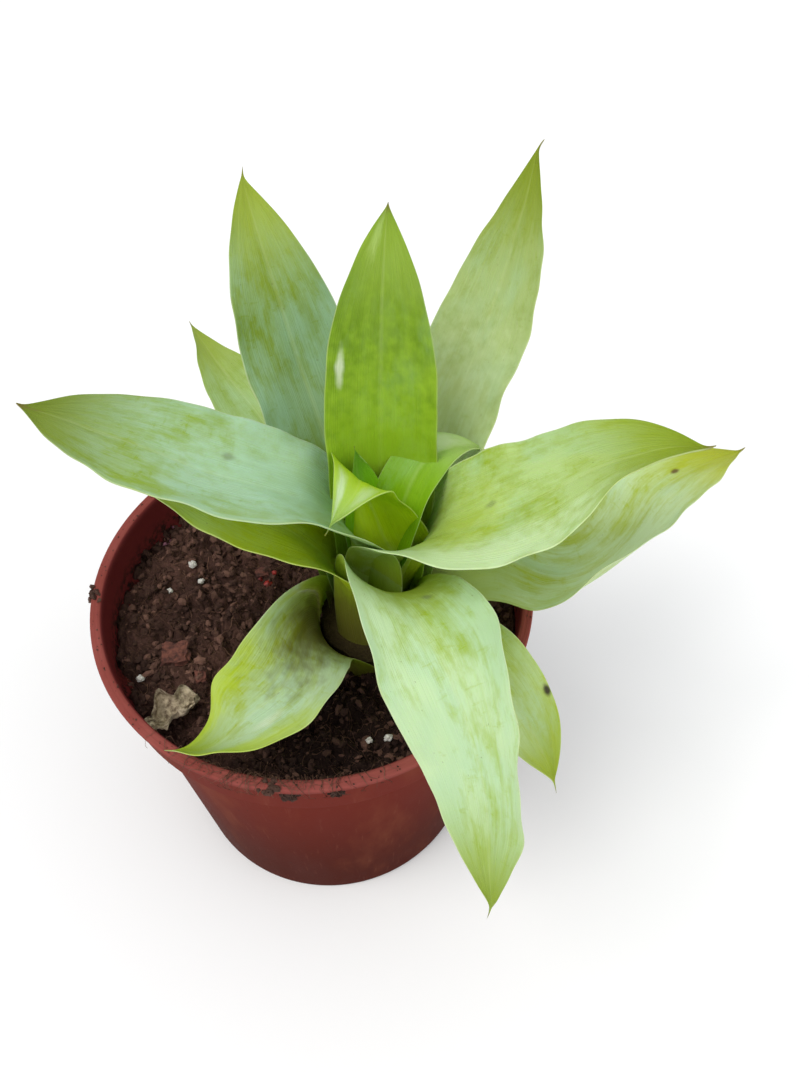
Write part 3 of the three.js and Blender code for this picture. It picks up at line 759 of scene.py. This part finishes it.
# %% Leaf table
LEAVES = [
    dict(
        name="leaf_heart_centre", heading=101, length=54, width=14,
        climb=(78, 79, 85, 83, 76), turn=(0, 2, 7, 14), roll=(0, 1, 6, 15), channel=(78, 47, 19),
        tip=(1.5, 20, 0), furl=60, wave=0.2,
    ),
    dict(
        name="leaf_heart_front", heading=261, length=71, width=24,
        climb=(88, 97, 102, 58, -48), turn=(0, -5, -24, -37), roll=(0, -3, -6, -2), channel=(75, 44, 18),
        lean=(0, 20, 3, -6, 15),
        tip=(3.5, 60, 20), furl=50, wave=0.4,
    ),
    dict(
        name="leaf_heart_right", heading=18, length=70, width=17,
        climb=(90, 89, 75, 22, -44), turn=(0, 1, 10, 8), roll=(0, 4, 6, -26), channel=(93, 61, 25),
        lean=(0, -3, -2, 12, 33),
        tip=(1.5, 20, 0), furl=60, wave=0.3,
    ),
    dict(
        name="leaf_back", heading=72, length=110, width=28,
        climb=(86, 80, 76, 56, 18), turn=(2, 2, 6, 4), roll=(0, 15, 5, 10), channel=(85, 50, 25),
        tip=(1.5, 30, 0), furl=25, wave=0.3,
    ),
    dict(
        name="leaf_right", heading=-12, length=115, width=37,
        climb=(91, 76, 38, 43, -10), turn=(-5, -46, 5, 3), roll=(4, 2, -6, -12), channel=(148, 37, 31),
        lean=(0, 0, 6, 1, 5),
        tip=(2.5, 50, 10), furl=60, wave=0.5,
    ),
    dict(
        name="leaf_left", heading=170, length=125, width=35,
        climb=(92, 90, 28, 14, -6), turn=(-4, 16, -10, -24), roll=(0, 10, 5, -10), channel=(90, 50, 20),
        tip=(2.0, 40, 0), furl=20, wave=0.5,
    ),
    dict(
        name="leaf_left_lower", heading=160, length=88, width=30,
        climb=(90, 80, 36, 14, -12), turn=(-6, 7, 0, -6), roll=(1, 10, -2, 7), channel=(84, 49, 29),
        lean=(0, 6, 5, 0, 0),
        tip=(2.0, 20, 0), furl=20, wave=0.4,
    ),
    dict(
        name="leaf_front", heading=-71, length=124, width=31,
        climb=(98, 65, -7, -39, -72), turn=(6, -1, -13, -31), roll=(11, -14, 48, 40), channel=(102, 65, 25),
        lean=(-2, -18, -8, -4, -9),
        tip=(6.0, -10, -50), furl=30, wave=0.6,
    ),
    dict(
        name="leaf_back_left", heading=106, length=121, width=29,
        climb=(90, 70, 50, 42, 20), turn=(6, 4, 0, -8), roll=(0, 5, -5, 5), channel=(70, 45, 15),
        tip=(3.0, 60, -60), furl=40, wave=0.5,
    ),
    dict(
        name="leaf_back_right", heading=50, length=129, width=28,
        climb=(88, 64, 42, 36, 46), turn=(0, -4, 6, 12), roll=(0, 0, -10, -30), channel=(75, 40, 30),
        tip=(3.0, -30, -30), furl=20, wave=0.5,
    ),
    dict(
        name="leaf_back_left_lower", heading=116, length=104, width=22,
        climb=(88, 46, 14, 4, 10), turn=(0, 0, 0, -2), roll=(0, 5, -10, 30), channel=(80, 55, 25),
        tip=(2.0, 40, 0), furl=30, wave=0.4,
    ),
    dict(
        name="leaf_right_lower", heading=9, length=104, width=36,
        climb=(87, 28, 25, 13, -9), turn=(0, -17, 7, 11), roll=(-18, 2, -19, -14), channel=(68, 58, 25),
        lean=(2, 12, -24, 0, 2),
        tip=(2.5, 50, 0), furl=30, wave=0.5,
    ),
    dict(
        name="leaf_front_right_lower", heading=-52, length=73, width=23,
        climb=(86, 62, 6, -28, -50), turn=(2, -4, -8, -18), roll=(-15, -15, -10, 5), channel=(80, 45, 25),
        tip=(4.0, -20, 0), furl=30, wave=0.5,
    ),
    dict(
        name="leaf_front_left_lower", heading=212, length=69, width=30,
        climb=(96, 62, -7, -8, -1), turn=(0, 18, 10, -41), roll=(9, -26, 2, 44), channel=(123, 77, 19),
        lean=(3, -19, 4, -2, 10),
        tip=(2.5, 10, 0), furl=20, wave=0.6,
    ),
]
print("leaves:", len(LEAVES), "from the heart outwards")

# %% [markdown]
# `smooth_value` reads such a list at any share of the way along, passing smoothly through every
# number. It is the same curve that the construction model uses, so the looks and the CAD agree.


# %% Leaf curve
INNERMOST_RADIUS = 2.2
SHEATH_SPACING = 1.05
INNERMOST_HEIGHT = 102.0
SHEATH_STEP_DOWN = 0.9
WIDEST_BASE = 200.0
BASE_SPREAD = 1.05
WIDTH_PROFILE = (1, 0.98, 1, 1, 0.96, 0.82, 0.5, 0.03)
UPRIGHT = (0, 0, 0, 0, 0)


def smooth_value(values, share):
    last = len(values) - 1
    place = min(max(share * last, 0), last - 1e-9)
    index = int(place)
    part = place - index
    start, end = values[index], values[index + 1]
    before = values[index - 1] if index > 0 else 2 * start - end
    after = values[index + 2] if index + 2 <= last else 2 * end - start
    curve = 2 * before - 5 * start + 4 * end - after
    twist = 3 * start - before - 3 * end + after
    return 0.5 * (2 * start + (end - before) * part + curve * part**2 + twist * part**3)


def soft_step(low, high, value):
    share = min(max((value - low) / (high - low), 0.0), 1.0)
    return share * share * (3 - 2 * share)


def leaf_rows(leaf, rank, row_count):
    """The cross-sections of a leaf: place, directions, width and arc at even distances."""
    length, width = leaf["length"], leaf["width"]
    tip_length, tip_climb, tip_turn = leaf["tip"]
    base_radius = INNERMOST_RADIUS + SHEATH_SPACING * rank
    base_width = min(BASE_SPREAD * width, base_radius * math.radians(WIDEST_BASE))
    widths = [base_width] + [part * width for part in WIDTH_PROFILE]
    channels = [math.degrees(base_width / base_radius), *leaf["channel"]]
    heading = math.radians(leaf["heading"])
    middle = Vector((
        STEM_X + base_radius * math.cos(heading),
        STEM_Y + base_radius * math.sin(heading),
        INNERMOST_HEIGHT - SHEATH_STEP_DOWN * rank,
    ))
    total = length + tip_length
    rows = []
    for index in range(row_count + 1):
        distance = total * index / row_count
        share = min(distance / length, 1.0)
        beyond = max(distance - length, 0.0) / tip_length
        hook = min(max((distance - length + tip_length) / (2 * tip_length), 0.0), 1.0) ** 2
        climb = math.radians(smooth_value(leaf["climb"], share) + tip_climb * hook)
        bearing = heading + math.radians(smooth_value(leaf["turn"], share) + tip_turn * hook)
        roll = math.radians(smooth_value(leaf["roll"], share))
        lean = math.radians(smooth_value(leaf.get("lean", UPRIGHT), share))
        outward = Vector((math.cos(bearing), math.sin(bearing), 0))
        ahead = outward * math.cos(climb) + Vector((0, 0, math.sin(climb)))
        level = Vector((-math.sin(bearing), math.cos(bearing), 0))
        upright = ahead.cross(level)
        side = level * math.cos(roll) + upright * math.sin(roll)
        up = upright * math.cos(roll) - level * math.sin(roll)
        if rows:
            middle = middle + (rows[-1]["ahead"] + ahead) * (total / row_count / 2)
        furl = leaf["furl"] * soft_step(0.72, 1.0, share)
        arc = math.radians(max(smooth_value(channels, share) + furl, 2.0))
        row_width = max(smooth_value(widths, share), 0.4) * (1 - 0.7 * beyond)
        row = dict(share=share, middle=middle, ahead=ahead, side=side, up=up)
        rows.append(dict(row, arc=arc, lean=lean, width=row_width))
    return rows


print("tip share of width:", WIDTH_PROFILE[-1])

# %% [markdown]
# The blade starts as a flat grid, whose own coordinates say how far along and across each point
# is. Every point is then carried to its place on the arched cross-section. A flat formula gives a
# plastic leaf, so three reliefs are added in the direction of the surface normal: a groove over
# the midrib, a slow unevenness, and ripples that grow towards the margins. `solidify` then gives
# the blade its thickness, and one level of subdivision rounds its edges.

# %% Leaf builder
LEAF_COLUMNS = 22
LEAF_ROWS = 84
LEAF_THICKNESS = 0.6
GROOVE_DEPTH = 0.35
GROOVE_WIDTH = 1.3


def leaf_relief(leaf, rank, across, row):
    share = row["share"]
    across_mm = across * row["width"] / 2
    along_mm = share * leaf["length"]
    spread = soft_step(0.2, 0.45, share) * soft_step(1.0, 0.85, share)
    groove = -GROOVE_DEPTH * math.exp(-((across_mm / GROOVE_WIDTH) ** 2)) * spread
    uneven = noise.fractal(Vector((across_mm * 0.07, along_mm * 0.045, rank * 5.3)), 0.7, 2.0, 2)
    ripple = math.sin(along_mm * 0.28 + rank * 1.7 + 1.5 * across) * abs(across) ** 3
    ripple += 0.5 * math.sin(along_mm * 0.61 + rank * 0.9 - 2.0 * across) * abs(across) ** 4
    return groove + spread * (0.9 * uneven + leaf["wave"] * ripple)


def build_leaf(leaf, rank, material):
    rows = leaf_rows(leaf, rank, LEAF_ROWS)
    bm = bmesh.new()
    bmesh.ops.create_grid(bm, x_segments=LEAF_COLUMNS, y_segments=LEAF_ROWS, size=1.0)
    along = bm.verts.layers.float.new("along")
    across = bm.verts.layers.float.new("across")
    upper = bm.verts.layers.float.new("upper")
    for vert in bm.verts:
        vert[across] = vert.co.x
        vert[along] = (vert.co.y + 1) / 2
        row = rows[round(vert[along] * LEAF_ROWS)]
        angle = vert[across] * row["arc"] / 2 + row["lean"]
        radius = row["width"] / row["arc"]
        normal = row["up"] * math.cos(angle) - row["side"] * math.sin(angle)
        place = row["middle"] + row["side"] * radius * math.sin(angle)
        place += row["up"] * radius * (1 - math.cos(angle))
        place += normal * (leaf_relief(leaf, rank, vert[across], row) + LEAF_THICKNESS / 2)
        vert.co = place * MM
        vert[upper] = 1.0
    first_verts = set(bm.verts)
    bmesh.ops.solidify(bm, geom=bm.faces[:], thickness=LEAF_THICKNESS * MM)
    for vert in bm.verts:
        if vert not in first_verts:
            vert[upper] = 0.0
    bmesh.ops.recalc_face_normals(bm, faces=bm.faces)
    piece = finish_piece(leaf["name"] + "_look", bm, material, [leaf["name"]])
    smooth_by_subdivision(piece, 1)
    low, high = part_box(leaf["name"])
    grown = [v.co for v in piece.data.vertices]
    reach = [round((max(c[i] for c in grown) - high[i]) / MM, 1) for i in range(3)]
    print("  reaches past its CAD leaf by", reach, "mm")


print("leaf grid:", LEAF_COLUMNS, "x", LEAF_ROWS)

# %% [markdown]
# ## Leaf colours
# Older leaves are paler and yellower, and young ones are fresh green with hardly any bloom yet. Four
# colours and the amount of bloom say what a leaf looks like. Every leaf also has its own history: a
# rub, a spot, a scar. Those small differences are what make a plant look grown and not cloned. Pale
# marks near the tips of two heart leaves are painted highlights, a painted sheen on their curled points.

# %% Leaf looks
LEAF_LOOKS = {
    "leaf_heart_centre": dict(
        flesh=(140, 202, 14), film=(150, 206, 40), bloom=0.1, sheath=(120, 170, 20), tip=(110, 166, 50),
    ),
    "leaf_heart_front": dict(
        flesh=(182, 214, 14), film=(186, 216, 40), bloom=0.1, sheath=(184, 216, 22), tip=(156, 192, 90),
    ),
    "leaf_heart_right": dict(
        flesh=(120, 166, 4), film=(134, 178, 20), bloom=0.1, sheath=(140, 178, 12), tip=(168, 198, 110),
    ),
    "leaf_back": dict(
        flesh=(100, 134, 4), film=(116, 146, 14), bloom=0.2, sheath=(170, 204, 44), tip=(142, 172, 48),
    ),
    "leaf_right": dict(
        flesh=(150, 174, 24), film=(182, 208, 132), bloom=0.5, sheath=(184, 210, 110), tip=(138, 160, 20),
    ),
    "leaf_left": dict(
        flesh=(136, 164, 50), film=(164, 196, 156), bloom=0.7, sheath=(144, 172, 16), tip=(112, 130, 6),
    ),
    "leaf_left_lower": dict(
        flesh=(178, 196, 12), film=(190, 210, 80), bloom=0.25, sheath=(170, 188, 14), tip=(132, 152, 10),
    ),
    "leaf_front": dict(
        flesh=(158, 184, 70), film=(194, 220, 170), bloom=0.8, sheath=(146, 166, 10), tip=(140, 162, 14),
    ),
    "leaf_back_left": dict(
        flesh=(116, 142, 34), film=(136, 168, 122), bloom=0.6, sheath=(154, 190, 120), tip=(158, 176, 50),
    ),
    "leaf_back_right": dict(
        flesh=(132, 152, 28), film=(164, 184, 112), bloom=0.66, sheath=(190, 210, 156), tip=(132, 150, 12),
    ),
    "leaf_back_left_lower": dict(
        flesh=(140, 166, 60), film=(166, 192, 120), bloom=0.6, sheath=(150, 176, 60), tip=(150, 168, 50),
    ),
    "leaf_right_lower": dict(
        flesh=(170, 188, 56), film=(198, 220, 166), bloom=0.6, sheath=(178, 200, 110), tip=(170, 178, 30),
    ),
    "leaf_front_right_lower": dict(
        flesh=(176, 194, 60), film=(196, 218, 156), bloom=0.55, sheath=(120, 130, 40), tip=(164, 182, 40),
    ),
    "leaf_front_left_lower": dict(
        flesh=(152, 172, 30), film=(184, 208, 166), bloom=0.62, sheath=(98, 96, 34), tip=(136, 160, 8),
    ),
}
# Each mark: place along and across, length and width in millimetres, colour, and strength.
LEAF_MARKS = {
    # The two pale marks near the tip are painted highlights, a painted sheen on the folded point; the brown
    # one is the spine.
    "leaf_heart_front": [
        (0.86, -0.6, 9.0, 3.4, (212, 232, 196), 0.6), (0.84, 0.5, 6.0, 6.0, (198, 222, 168), 0.55),
        (0.99, 0.0, 3.0, 3.0, (186, 102, 44), 0.9),
    ],
    # The pale mark near the tip is a painted highlight, a painted sheen on the bent-back point.
    "leaf_heart_right": [(0.84, 0.5, 8.0, 6.0, (204, 224, 170), 0.6)],
    "leaf_left": [
        (0.47, -0.3, 34.0, 22.0, (170, 208, 176), 0.6), (0.60, -0.35, 2.6, 1.6, (112, 126, 84), 0.6),
        (0.98, 0.0, 6.0, 4.0, (120, 104, 50), 0.5),
    ],
    "leaf_left_lower": [(0.20, 0.3, 8.0, 5.0, (96, 84, 48), 0.5)],
    "leaf_back": [
        (0.38, 0.0, 52.0, 46.0, (160, 196, 46), 0.65), (0.66, 0.74, 6.0, 1.6, (226, 234, 206), 0.7),
        (0.93, 0.5, 9.0, 5.0, (176, 202, 110), 0.6),
    ],
    "leaf_back_right": [(0.42, 0.2, 40.0, 30.0, (208, 224, 170), 0.45)],
    "leaf_right": [
        (0.56, -0.75, 38.0, 11.0, (208, 232, 184), 0.7), (0.45, 0.1, 24.0, 16.0, (190, 212, 112), 0.5),
        (0.55, 0.2, 3.0, 1.2, (116, 128, 78), 0.5),
    ],
    "leaf_right_lower": [(0.80, 0.2, 1.8, 1.6, (96, 72, 34), 0.9)],
    "leaf_front": [
        (0.30, 0.3, 18.0, 20.0, (146, 166, 10), 0.8), (0.1, -0.6, 20.0, 12.0, (100, 96, 40), 0.7),
        (0.36, 0.4, 2.0, 1.5, (120, 128, 96), 0.6),
    ],
    "leaf_front_right_lower": [(0.70, 0.9, 2.0, 1.6, (52, 40, 30), 0.95)],
    "leaf_front_left_lower": [
        (0.72, -0.9, 26.0, 8.0, (178, 200, 40), 0.7), (0.76, 0.9, 22.0, 8.0, (178, 200, 40), 0.7),
        (0.66, 0.35, 5.0, 2.0, (224, 230, 206), 0.35), (0.24, 0.0, 28.0, 15.0, (84, 76, 34), 0.8),
    ],
}


def leaf_material(leaf, seed):
    look = LEAF_LOOKS[leaf["name"]]
    material, tree, shader = new_material(leaf["name"] + "_skin")
    surface = add(
        tree, "ShaderNodeGroup", {"node_tree": leaf_group},
        Length=float(leaf["length"]), Width=float(leaf["width"]), Seed=float(seed), Bloom=look["bloom"],
        Flesh=screen_colour(*look["flesh"]), Film=screen_colour(*look["film"]),
        Sheath=screen_colour(*look["sheath"]), Tip=screen_colour(*look["tip"]),
    )
    colour = surface.outputs["Colour"]
    for place, across, long, wide, mark_colour, share in LEAF_MARKS.get(leaf["name"], []):
        mark = add(
            tree, "ShaderNodeGroup", {"node_tree": mark_group},
            Colour=colour, Mark=screen_colour(*mark_colour), Share=share, Along=place, Across=across,
            Long=long, Wide=wide, Length=float(leaf["length"]), Width=float(leaf["width"]),
        )
        colour = mark.outputs["Colour"]
    tree.links.new(colour, shader.inputs["Base Color"])
    tree.links.new(surface.outputs["Roughness"], shader.inputs["Roughness"])
    tree.links.new(bump(tree, surface.outputs["Height"], 0.00005), shader.inputs["Normal"])
    shader.inputs["Subsurface Weight"].default_value = 0.12
    shader.inputs["Subsurface Radius"].default_value = (0.6, 1.0, 0.25)
    shader.inputs["Subsurface Scale"].default_value = 0.001
    shader.inputs["Specular IOR Level"].default_value = 0.25
    return material


for rank, leaf in enumerate(LEAVES):
    build_leaf(leaf, rank, leaf_material(leaf, rank))

# %% [markdown]
# ## Stem
# The stem is hidden by the sheaths, but a light between the leaves can find it. It is a short,
# corky column ringed with the scars of fallen leaves, so its outline goes in and out as it rises.

# %% Stem
STEM_RINGS = 9
STEM_SIDES = 40
STEM_NECK = 0.92
STEM_TAPER = 0.25

low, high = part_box("stem")
stem_middle = (low + high) / 2
stem_radius = (high.x - low.x) / 2 / MM
stem_outline = [(0, low.z / MM)]
for index in range(STEM_RINGS * 2 + 1):
    share = index / (STEM_RINGS * 2)
    swell = 1.0 if index % 2 == 0 else STEM_NECK
    radius = stem_radius * swell * (1.0 - STEM_TAPER * (1 - share))
    stem_outline.append((radius, (low.z + (high.z - low.z) * share) / MM))
stem_outline.append((0, high.z / MM))
bm = spun_solid(stem_outline, STEM_SIDES)
for vert in bm.verts:
    push = 1 + 0.06 * noise.noise(vert.co * 400)
    vert.co = Vector((vert.co.x * push + stem_middle.x, vert.co.y * push + stem_middle.y, vert.co.z))
cork = soil_material("cork", (48, 38, 22), (104, 92, 52), False)
finish_piece("ringed_stem", bm, cork, ["stem"])

# %% [markdown]
# ## Litter
# White perlite, chips of bark and a scrap of dead leaf lie in the mix. A perlite grain is popped
# glass: a lumpy ball with small pits. A bark chip is a block with split, layered faces. Both take
# their place and size from the construction model.


# %% Perlite and bark
litter_group, given, result = new_group(
    "litter_mottle",
    {
        "Place": "NodeSocketVector", "Scale": "NodeSocketFloat",
        "Dark": "NodeSocketColor", "Light": "NodeSocketColor",
    },
    {"Colour": "NodeSocketColor", "Height": "NodeSocketFloat"},
)
tree = litter_group
mottle = cloud(tree, stretched(tree, given["Place"], 1000, 1000, 1000), given["Scale"], 4.0, 0.65)
colour = blend_colours(tree, ramp(tree, mottle, 0.3, 0.7), given["Dark"], given["Light"])
tree.links.new(colour, result["Colour"])
tree.links.new(mottle, result["Height"])


def litter_material(name, dark, light, scale, bump_distance, roughness=0.9):
    material, tree, shader = new_material(name)
    mottle = add(
        tree, "ShaderNodeGroup", {"node_tree": litter_group},
        Place=add(tree, "ShaderNodeTexCoord").outputs["Object"], Scale=scale,
        Dark=screen_colour(*dark), Light=screen_colour(*light),
    )
    tree.links.new(mottle.outputs["Colour"], shader.inputs["Base Color"])
    tree.links.new(bump(tree, mottle.outputs["Height"], bump_distance), shader.inputs["Normal"])
    shader.inputs["Roughness"].default_value = roughness
    return material


def lump_in_box(bm, low, high, seed, detail, rough, share=1.0):
    made = bmesh.ops.create_icosphere(bm, subdivisions=detail, radius=1.0)["verts"]
    half = (high - low) / 2 * share
    middle = Vector(((low.x + high.x) / 2, (low.y + high.y) / 2, low.z + half.z))
    for vert in made:
        push = 1 + rough * noise.fractal(vert.co * 1.7 + Vector((seed, 0, 0)), 0.6, 2.0, 3)
        vert.co = Vector(vert.co[i] * push * half[i] + middle[i] for i in range(3))


perlite = litter_material("perlite_white", (176, 170, 160), (240, 238, 232), 1.4, 0.0002)
bark = litter_material("bark_red", (58, 30, 24), (122, 72, 58), 0.7, 0.0003)
for index in range(1, 7):
    name = f"perlite_{index}"
    bm = bmesh.new()
    lump_in_box(bm, *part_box(name), index * 3.1, 4, 0.35, 0.7)
    finish_piece(name + "_grain", bm, perlite, [name])


def bark_chip(name, seed, share):
    low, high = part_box(name)
    half = (high - low) / 2 * share
    middle = Vector(((low.x + high.x) / 2, (low.y + high.y) / 2, low.z + half.z))
    bm = bmesh.new()
    bmesh.ops.create_cube(bm, size=2.0)
    bmesh.ops.bevel(
        bm, geom=bm.edges[:], offset=0.25, segments=2, profile=0.5, affect="EDGES", material=-1,
    )
    bmesh.ops.subdivide_edges(bm, edges=bm.edges[:], cuts=5, use_grid_fill=True)
    for vert in bm.verts:
        layers = 0.12 * math.sin(vert.co.z * 9 + seed) * (abs(vert.co.x) > 0.7 or abs(vert.co.y) > 0.7)
        push = 0.9 + layers + 0.3 * noise.fractal(vert.co * 1.3 + Vector((seed, 0, 0)), 0.6, 2.0, 3)
        vert.co = Vector(vert.co[i] * push * half[i] + middle[i] for i in range(3))
    bmesh.ops.recalc_face_normals(bm, faces=bm.faces)
    finish_piece(name + "_split", bm, bark, [name])


for index, share in ((1, 0.76), (2, 0.6), (3, 0.6)):
    bark_chip(f"bark_chip_{index}", index * 2.3, share)

# %% [markdown]
# Smaller scraps sit in the mix too: red seed husks, and a few pink stem bits by the wall. Watering
# also carries soil over the lip, where it dries on the outside of the pot. All of them are the same
# lump or fibre as before. The husks, the bits and the clods are listed one by one, and loose grit lies
# anywhere on the lip.


# %% Scraps and rim dirt
def placed_lumps(name, material, lumps, seed):
    """Lumps from (x, y, height or None to lie on the soil, size) in millimetres."""
    bm = bmesh.new()
    layer = bm.verts.layers.float.new("tint")
    dice = random.Random(seed)
    for x, y, level, size in lumps:
        level = rough_soil_height(x, y) + 0.3 * size if level is None else level
        add_lump(bm, layer, 0.3 * dice.random(), Vector((x, y, level)) * MM, size, dice, 0.8)
    finish_piece(name, bm, material, smooth=False)


husk_red = litter_material("husk_red", (120, 24, 22), (186, 52, 44), 1.2, 0.0001, 0.5)
stem_pink = litter_material("stem_pink", (96, 52, 70), (150, 96, 116), 1.0, 0.0001, 0.7)
husks = [(-13, 12, None, 3.2), (-15, 14.5, None, 2.2), (-10.6, 13.6, None, 1.6)]
placed_lumps("red_husks", husk_red, husks, 3)
pink_bits = [(-44 + 0.8 * step, 30 + 0.9 * step, None, 1.3) for step in range(5)]
pink_bits += [(-47, 26, None, 1.2), (-40, 38, None, 1.1)]
placed_lumps("pink_bits", stem_pink, pink_bits, 4)

# Each clod: its heading round the pot, and how far down from the lip's top it starts and ends.
RIM_CLODS = ((-106, -1.5, 3.5), (-102, 4.5, 8.5), (-91, 2.0, 7.5), (174, -1.5, 2.5))
CLOD_LUMPS = 30
LIP_GRIT = 160


def round_the_pot(angle, radius):
    return radius * math.cos(angle), radius * math.sin(angle)


dice = random.Random(11)
rim_lumps = []
for heading, highest, lowest in RIM_CLODS:
    for _ in range(CLOD_LUMPS):
        drop = dice.uniform(highest, lowest)
        angle = math.radians(heading + dice.gauss(0, 1.1))
        radius = COLLAR_RADIUS + 0.3 if drop > LIP_DEPTH else LIP_RADIUS + 0.1
        radius = radius if drop > 0 else LIP_RADIUS - dice.uniform(0, 2.5)
        level = POT_HEIGHT - max(drop, 0.0) + 0.1
        rim_lumps.append((*round_the_pot(angle, radius), level, dice.uniform(0.6, 2.2)))
for _ in range(LIP_GRIT):
    angle = dice.uniform(0, 2 * math.pi)
    radius = LIP_RADIUS - dice.uniform(0.3, 3.0)
    rim_lumps.append((*round_the_pot(angle, radius), POT_HEIGHT, dice.uniform(0.2, 0.6)))
placed_lumps("rim_dirt", peat_crumbs, rim_lumps, 12)

# %% [markdown]
# Some fibres lean out of the soil at the front and lie over the lip. Each is a straight line with a
# hump in its height. Where it would pass through the lip it is lifted onto it, and its loose end
# hangs down outside.

# %% Rim fibres
RIM_FIBRES = 90
RIM_FIBRE_HEADING = -104.0
RIM_FIBRE_START = 54.0
OUTSIDE_LIP = LIP_RADIUS + 1

bm = bmesh.new()
tint_layer = bm.verts.layers.float.new("tint")
for _ in range(RIM_FIBRES):
    angle = math.radians(dice.gauss(RIM_FIBRE_HEADING, 14))
    turn = angle + dice.uniform(-0.9, 0.9)
    start = Vector((*round_the_pot(angle, RIM_FIBRE_START), 0))
    length = dice.uniform(4, 11)
    start.z = rough_soil_height(start.x, start.y)
    lift = dice.uniform(2, 11)
    points = []
    for index in range(FIBRE_POINTS):
        share = index / (FIBRE_POINTS - 1)
        ahead = Vector((math.cos(turn), math.sin(turn), 0)) * length * share
        point = start + ahead + Vector((0, 0, lift * math.sin(1.9 * share)))
        reach = math.hypot(point.x, point.y)
        if reach > OUTSIDE_LIP:
            pull = OUTSIDE_LIP / reach
            point = Vector((point.x * pull, point.y * pull, POT_HEIGHT - 2 * share))
        turn += dice.uniform(-0.25, 0.25)
        if lip_inner - 1 < reach < OUTSIDE_LIP:
            point.z = max(point.z, POT_HEIGHT + 0.3)
        points.append(point * MM)
    add_fibre(bm, tint_layer, dice.random(), points, dice.uniform(0.06, 0.13) * MM)
finish_piece("rim_fibres", bm, peat_fibres)

# %% [markdown]
# The dead leaf is a dry, curled scrap. It starts as a grid. Its outline narrows to both ends, its
# margins roll up, and two sizes of noise crumple it. Then it is given a thickness. Vector noise is
# shifted by a random amount that Blender draws from the clock, so it is given a fixed seed here.
# Without one, the scrap would be crumpled in another way on every run.

# %% Dried leaf
dry = litter_material("dry_leaf_paper", (104, 88, 68), (208, 192, 162), 0.6, 0.0006)
low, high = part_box("dried_leaf")
middle = (low + high) / 2
DRY_LENGTH = 17.0
DRY_WIDTH = 13.0
DRY_HEADING = math.radians(28)
DRY_ARC = 1.5
DRY_FOLD = 1.6
DRY_SEED = 1795197893

noise.seed_set(DRY_SEED)
bm = bmesh.new()
bmesh.ops.create_grid(bm, x_segments=56, y_segments=36, size=1.0)
turn = Matrix.Rotation(DRY_HEADING, 3, "Z")
for vert in bm.verts:
    along, across = vert.co.x, vert.co.y
    outline = (1 - abs(along) ** 2.6) ** 0.5 * (0.8 + 0.2 * math.sin(7.0 * along + 2.0 * across)) + 0.06
    angle = DRY_ARC * across * (1 + 0.4 * math.sin(3.1 * along + 0.6))
    radius = DRY_WIDTH / 2 * outline / DRY_ARC
    flat = Vector((along * DRY_LENGTH / 2, radius * math.sin(angle), radius * (1 - math.cos(angle))))
    flat.z += DRY_FOLD * (1 + math.sin(4.2 * along - 1.0) * math.cos(1.3 * across)) / 2
    crumple = noise.noise_vector(Vector((along * 2.2, across * 1.6, 4.0)))
    crumple += 0.8 * noise.noise_vector(Vector((along * 5.0, across * 3.6, 9.0)))
    veins = 0.16 * abs(math.sin(7.0 * across + 1.5 * along))
    flat += Vector((1.1 * crumple.x, 1.4 * crumple.y, 1.4 * crumple.z + veins + 1.0))
    vert.co = turn @ flat * MM + Vector((middle.x, middle.y, low.z))
bmesh.ops.solidify(bm, geom=bm.faces[:], thickness=0.3 * MM)
bmesh.ops.recalc_face_normals(bm, faces=bm.faces)
dried = finish_piece("dried_leaf_scrap", bm, dry, ["dried_leaf"])
smooth_by_subdivision(dried, 1)

# %% [markdown]
# ## Size
# How far the looks reach past the construction model's box on each side, in millimetres.
# The looks must stay inside the construction model's box, give or take a few millimetres.

# %% Compare sizes and finish
new_size = [list(corner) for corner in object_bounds()]
for axis, label in enumerate("xyz"):
    grown_low = (frame_size[0][axis] - new_size[0][axis]) / MM
    grown_high = (new_size[1][axis] - frame_size[1][axis]) / MM
    print(label, "grew by", round(grown_low, 1), "and", round(grown_high, 1), "mm")
